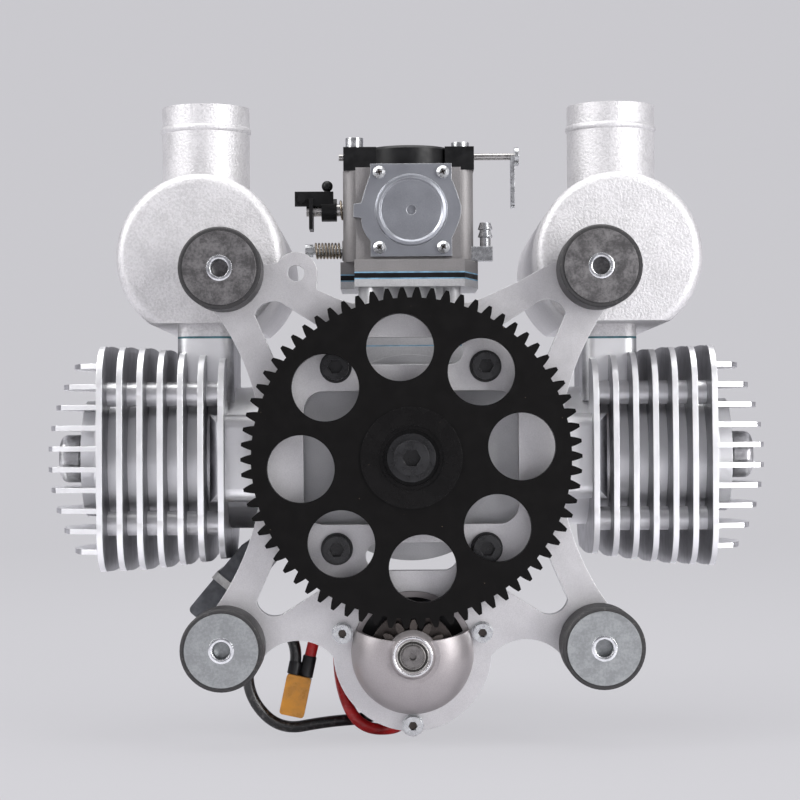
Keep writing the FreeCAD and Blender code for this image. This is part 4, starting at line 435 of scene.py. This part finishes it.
def turned_piece(name, slot, profile, places, way=REAR, body="engine", steps=48, finish=None):
    """The same ring at each place, turned from its profile about a line that runs that way."""
    bm = bmesh.new()
    turn = Vector(way).to_track_quat("Z", "Y")
    for place in places:
        rings = []
        for k in range(steps):
            a = 2 * math.pi * k / steps
            points = [Vector((r * MM * math.cos(a), r * MM * math.sin(a), d * MM)) for r, d in profile]
            rings.append([bm.verts.new(Vector(place) + turn @ point) for point in points])
        for here, there in zip(rings, rings[1:] + rings[:1]):
            for i in range(len(profile)):
                j = (i + 1) % len(profile)
                bm.faces.new((here[i], there[i], there[j], here[j]))
    return put(name, crisp(bm, name), slot, body, finish=finish)


def insert_rims():
    """Rolled rim and thread at the mouth of each isolator's M8 insert."""
    places = [(sx * ISO_AT, 0, sz * ISO_AT) for sx in (-1, 1) for sz in (-1, 1)]
    bright = turned("bright zinc", (0.74, 0.75, 0.77), 0.2)
    turned_piece("insert_rims", "zinc", INSERT_RIM, places, finish=bright)
    thread = [(THREAD_R, -0.7)]
    for k in range(THREAD_TURNS):
        crest = -1.0 - THREAD_PITCH * k
        thread += [(THREAD_CORE_R, crest), (THREAD_R, crest - THREAD_PITCH / 2)]
    thread += THREAD_SLEEVE
    turned_piece("insert_threads", "zinc", thread, places)


def nose_bearing():
    """Races and shield of the starter's nose bearing, round the end of the shaft."""
    bearing = [(0, BEARING_Y, STARTER_Z)]
    boss = [(0, BOSS_Y, STARTER_Z)]
    # Near-black colour for the shield, where a dark ring shows between the races.
    dark = turned("near black shield", (0.035, 0.032, 0.03), 0.3, 0.6)
    grey = turned("inner race", (0.16, 0.15, 0.145), 0.26)
    bright = turned("machined boss", (0.72, 0.72, 0.73), 0.22)
    turned_piece("nose_outer_race", "bearing_steel", OUTER_RACE, bearing)
    turned_piece("nose_shield", "bearing_steel", BEARING_SHIELD, bearing, finish=dark)
    turned_piece("nose_inner_race", "bearing_steel", INNER_RACE, bearing, body="starter", finish=grey)
    turned_piece("nose_boss_rings", "cast_aluminium", BOSS_RING, boss, finish=bright)


def cross_recess_shade():
    """Dark crosses on the four pan screws of the metering cover, painted shade of their cross recesses."""
    bm = bmesh.new()
    for sx in (-1, 1):
        for sz in (-1, 1):
            x = COVER_X + sx * COVER_SCREW_X
            z = COVER_Z + sz * COVER_SCREW_Z
            driven_to = 0.6 + 0.9 * sx + 0.5 * sz
            for turn in (driven_to, driven_to + math.pi / 2):
                c = math.cos(turn)
                s = math.sin(turn)
                outline = [((x + u * c - v * s) * MM, (z + u * s + v * c) * MM) for u, v in CROSS_ARM]
                front = [bm.verts.new((px, CROSS_FACE_Y * MM, pz)) for px, pz in outline]
                back = [bm.verts.new((px, CROSS_BACK_Y * MM, pz)) for px, pz in outline]
                for k in range(len(outline)):
                    after = (k + 1) % len(outline)
                    bm.faces.new((front[k], front[after], back[after], back[k]))
                bm.faces.new(front)
    # Thin dark steel crosses on the screw heads stand for the painted shade in the cross recesses.
    put("cover_screw_cross_shade", crisp(bm, "cross_recess_shade"), "carb_alloy", finish=FINISHES["dark_steel"])


def painted_socket_shade():
    """Dark discs in the hexagon sockets of the three zinc plated nose screws: painted shade at the bottom of
    the sockets.
    """
    places = [(NOSE_SCREW_AT * math.cos(a), SOCKET_Y, STARTER_Z + NOSE_SCREW_AT * math.sin(a))
              for a in map(math.radians, NOSE_SCREW_ANGLES)]
    turned_piece("nose_screw_socket_shade", "zinc", SOCKET_SHADE_DISC, places, steps=24, finish=FINISHES["dark_steel"])


def coils():
    """Torsion spring of the throttle and compression spring of the idle screw."""
    data = bpy.data.curves.new("control_coils", "CURVE")
    data.dimensions = "3D"
    data.bevel_depth = SPRING_WIRE_R
    data.bevel_resolution = 3
    for x0, x1, z, r, turns in SPRINGS:
        steps = turns * SPRING_STEPS
        spline = data.splines.new("POLY")
        spline.points.add(steps)
        for k in range(steps + 1):
            a = 2 * math.pi * k / SPRING_STEPS
            x = x0 + (x1 - x0) * k / steps
            spline.points[k].co = (x * MM, (SPRING_Y + r * math.cos(a)) * MM, (z + r * math.sin(a)) * MM, 1)
        spline.use_smooth = True
    put("control_coils", data, "spring_steel", hides=("control_springs",))


# Starter leads: their routes' points, as in the solids, in mm
RED_ROUTE = ((-2, 99, -96.575), (-2, 83, -96.575), (-2.5, 64, -99), (-4, 46, -104.9), (-21, 38, -103.5),
             (-28.5, 44, -86), (-28, 54, -66), (-32.5, 45.5, -58.5))
BLACK_ROUTE = ((-8, 99, -96.575), (-8, 83, -96.575), (-9.5, 64, -98.5), (-16, 50, -101), (-33, 45, -101.5),
               (-51, 42.5, -104.5), (-63, 40, -91), (-62.5, 39, -74), (-53.5, 38, -62.5))
LEAD_R = 2.2
CONNECTOR_AT = Vector((-44.5, 37.0, -90.4))
CONNECTOR_TURN = math.radians(-102)
CONNECTOR_WAY = Vector((math.cos(CONNECTOR_TURN), 0, math.sin(CONNECTOR_TURN)))
CONNECTOR_SIDE = Vector((-CONNECTOR_WAY.z, 0, CONNECTOR_WAY.x))
CONNECTOR_HALF = 7.75
CONTACT_AT = 2.35
BOOT_IN_R = 2.0
BOOT_R = 2.6
BOOT_LIP_R = 2.4
BOOT_LIP = 0.5


def lead(name, slot, route, tail, side, boot_long, sleeve):
    """One starter lead and its boot, from the end bell's gland to the connector, straight over its tail."""
    end = CONNECTOR_AT - CONNECTOR_WAY * CONNECTOR_HALF + CONNECTOR_SIDE * (side * CONTACT_AT)
    points = [Vector(p) for p in route] + [end - CONNECTOR_WAY * tail, end]
    data = bpy.data.curves.new(name, "CURVE")
    data.dimensions = "3D"
    data.bevel_depth = LEAD_R * MM
    data.bevel_resolution = 6
    data.resolution_u = 16
    spline = data.splines.new("NURBS")
    spline.points.add(len(points) - 1)
    for k, p in enumerate(points):
        spline.points[k].co = (*(p * MM), 1)
    spline.order_u = 3
    spline.use_endpoint_u = True
    made = put(name + "_cable", data, slot, hides=(name,))
    profile = ((BOOT_IN_R, 0), (BOOT_R, 0), (BOOT_R, boot_long - BOOT_LIP), (BOOT_LIP_R, boot_long),
               (BOOT_IN_R, boot_long))
    boot = turned_piece(name + "_boot", "lead_black", profile, [end * MM], -CONNECTOR_WAY, finish=sleeve)
    tuple(points[0] * MM)


def leads():
    """The red and the black lead."""
    sleeve = dull("heat shrink", (0.012, 0.012, 0.013), 0.35)
    lead("starter_lead_red", "lead_red", RED_ROUTE, 19.0, 1, 8.0, sleeve)
    lead("starter_lead_black", "lead_black", BLACK_ROUTE, 12.0, -1, 5.0, sleeve)


insert_rims()
nose_bearing()
cross_recess_shade()
painted_socket_shade()
coils()
leads()


# Camera, at the photograph's place and angle
CAMERA_AT = (-5.95 * MM, -815 * MM, 7.7 * MM)
PITCH = math.radians(0.95)
YAW = math.radians(0.13)
ROLL = math.radians(-0.37)
FOCAL_PX = 2230.0
PICTURE_PX = 800.0
SENSOR = 36.0


def camera():
    """Camera that matches the photograph's perspective."""
    data = bpy.data.cameras.new("camera")
    data.sensor_width = SENSOR
    data.lens = FOCAL_PX / PICTURE_PX * SENSOR
    data.clip_start = 0.05
    data.clip_end = 30.0
    seen = Vector((math.sin(YAW) * math.cos(PITCH), math.cos(YAW) * math.cos(PITCH), math.sin(PITCH)))
    turn = seen.to_track_quat("-Z", "Y") @ Quaternion((0, 0, 1), ROLL)
    made = bpy.data.objects.new("camera", data)
    made.location = CAMERA_AT
    made.rotation_mode = "QUATERNION"
    made.rotation_quaternion = turn
    bpy.context.scene.collection.objects.link(made)
    bpy.context.scene.camera = made


# Backdrop and lamps
BACKDROP = (0.605, 0.600, 0.630)
FLOOR_Z = cad_box[0].z - 0.5 * MM
SWEEP_FRONT = -4.0
SWEEP_BACK = 1.6
SWEEP_HALF = 6.0
SWEEP_TOP = 5.0
SWEEP_R = 0.8
SWEEP_STEPS = 12
ROOM_COLOUR = (0.80, 0.79, 0.84, 1.0)
ROOM_LIGHT = 0.42
# Each lamp's name, place, aim, width and height in metres, and watts
LAMPS = (("left softbox", (-1.2, -0.5, 0.8), (0, 0.05, 0), (0.7, 1.0), 17),
         ("right softbox", (1.0, -0.9, 0.4), (0, 0.05, 0), (0.6, 1.0), 18),
         ("top softbox", (0.0, 0.1, 1.1), (0, 0.08, 0), (1.2, 0.9), 12))


def backdrop():
    """Pale sweep: a floor that curves up behind the object."""
    f = Finish("backdrop", shade(BACKDROP, 1.15), 0.9)
    rays = f.node("ShaderNodeLightPath", out="Is Camera Ray")
    glow = f.node("ShaderNodeEmission", None, {"Color": (*BACKDROP, 1.0), "Strength": 1.0})
    mixed = f.node("ShaderNodeMixShader", None, {0: rays * 0.9, 1: Signal(f, f.shader.outputs[0]), 2: glow})
    f.tree.links.new(mixed.socket, f.tree.nodes["Material Output"].inputs["Surface"])
    sweep = bmesh.new()
    line = [(SWEEP_FRONT, FLOOR_Z), (SWEEP_BACK, FLOOR_Z)]
    for k in range(1, SWEEP_STEPS + 1):
        a = math.radians(90.0 * k / SWEEP_STEPS)
        line.append((SWEEP_BACK + SWEEP_R * math.sin(a), FLOOR_Z + SWEEP_R * (1 - math.cos(a))))
    line.append((SWEEP_BACK + SWEEP_R, SWEEP_TOP))
    rows = [[sweep.verts.new((x, y, z)) for x in (-SWEEP_HALF, SWEEP_HALF)] for y, z in line]
    for low, high in zip(rows, rows[1:]):
        sweep.faces.new((low[0], low[1], high[1], high[0]))
    mesh = bpy.data.meshes.new("backdrop")
    sweep.to_mesh(mesh)
    mesh.shade_smooth()
    made = bpy.data.objects.new("backdrop", mesh)
    mesh.materials.append(f.material)
    bpy.context.scene.collection.objects.link(made)


def lamp(name, at, aim, size, power):
    data = bpy.data.lights.new(name, "AREA")
    data.shape = "RECTANGLE"
    data.size, data.size_y = size
    data.energy = power
    made = bpy.data.objects.new(name, data)
    made.location = at
    made.rotation_mode = "QUATERNION"
    made.rotation_quaternion = (Vector(aim) - Vector(at)).to_track_quat("-Z", "Y")
    bpy.context.scene.collection.objects.link(made)


def lights():
    """Even light from the room, and three softboxes."""
    world = bpy.data.worlds.new("room")
    world.use_nodes = True
    background = world.node_tree.nodes["Background"]
    background.inputs["Color"].default_value = ROOM_COLOUR
    background.inputs["Strength"].default_value = ROOM_LIGHT
    bpy.context.scene.world = world
    for row in LAMPS:
        lamp(*row)


camera()
backdrop()
lights()
bpy.context.scene.view_settings.view_transform = "Standard"
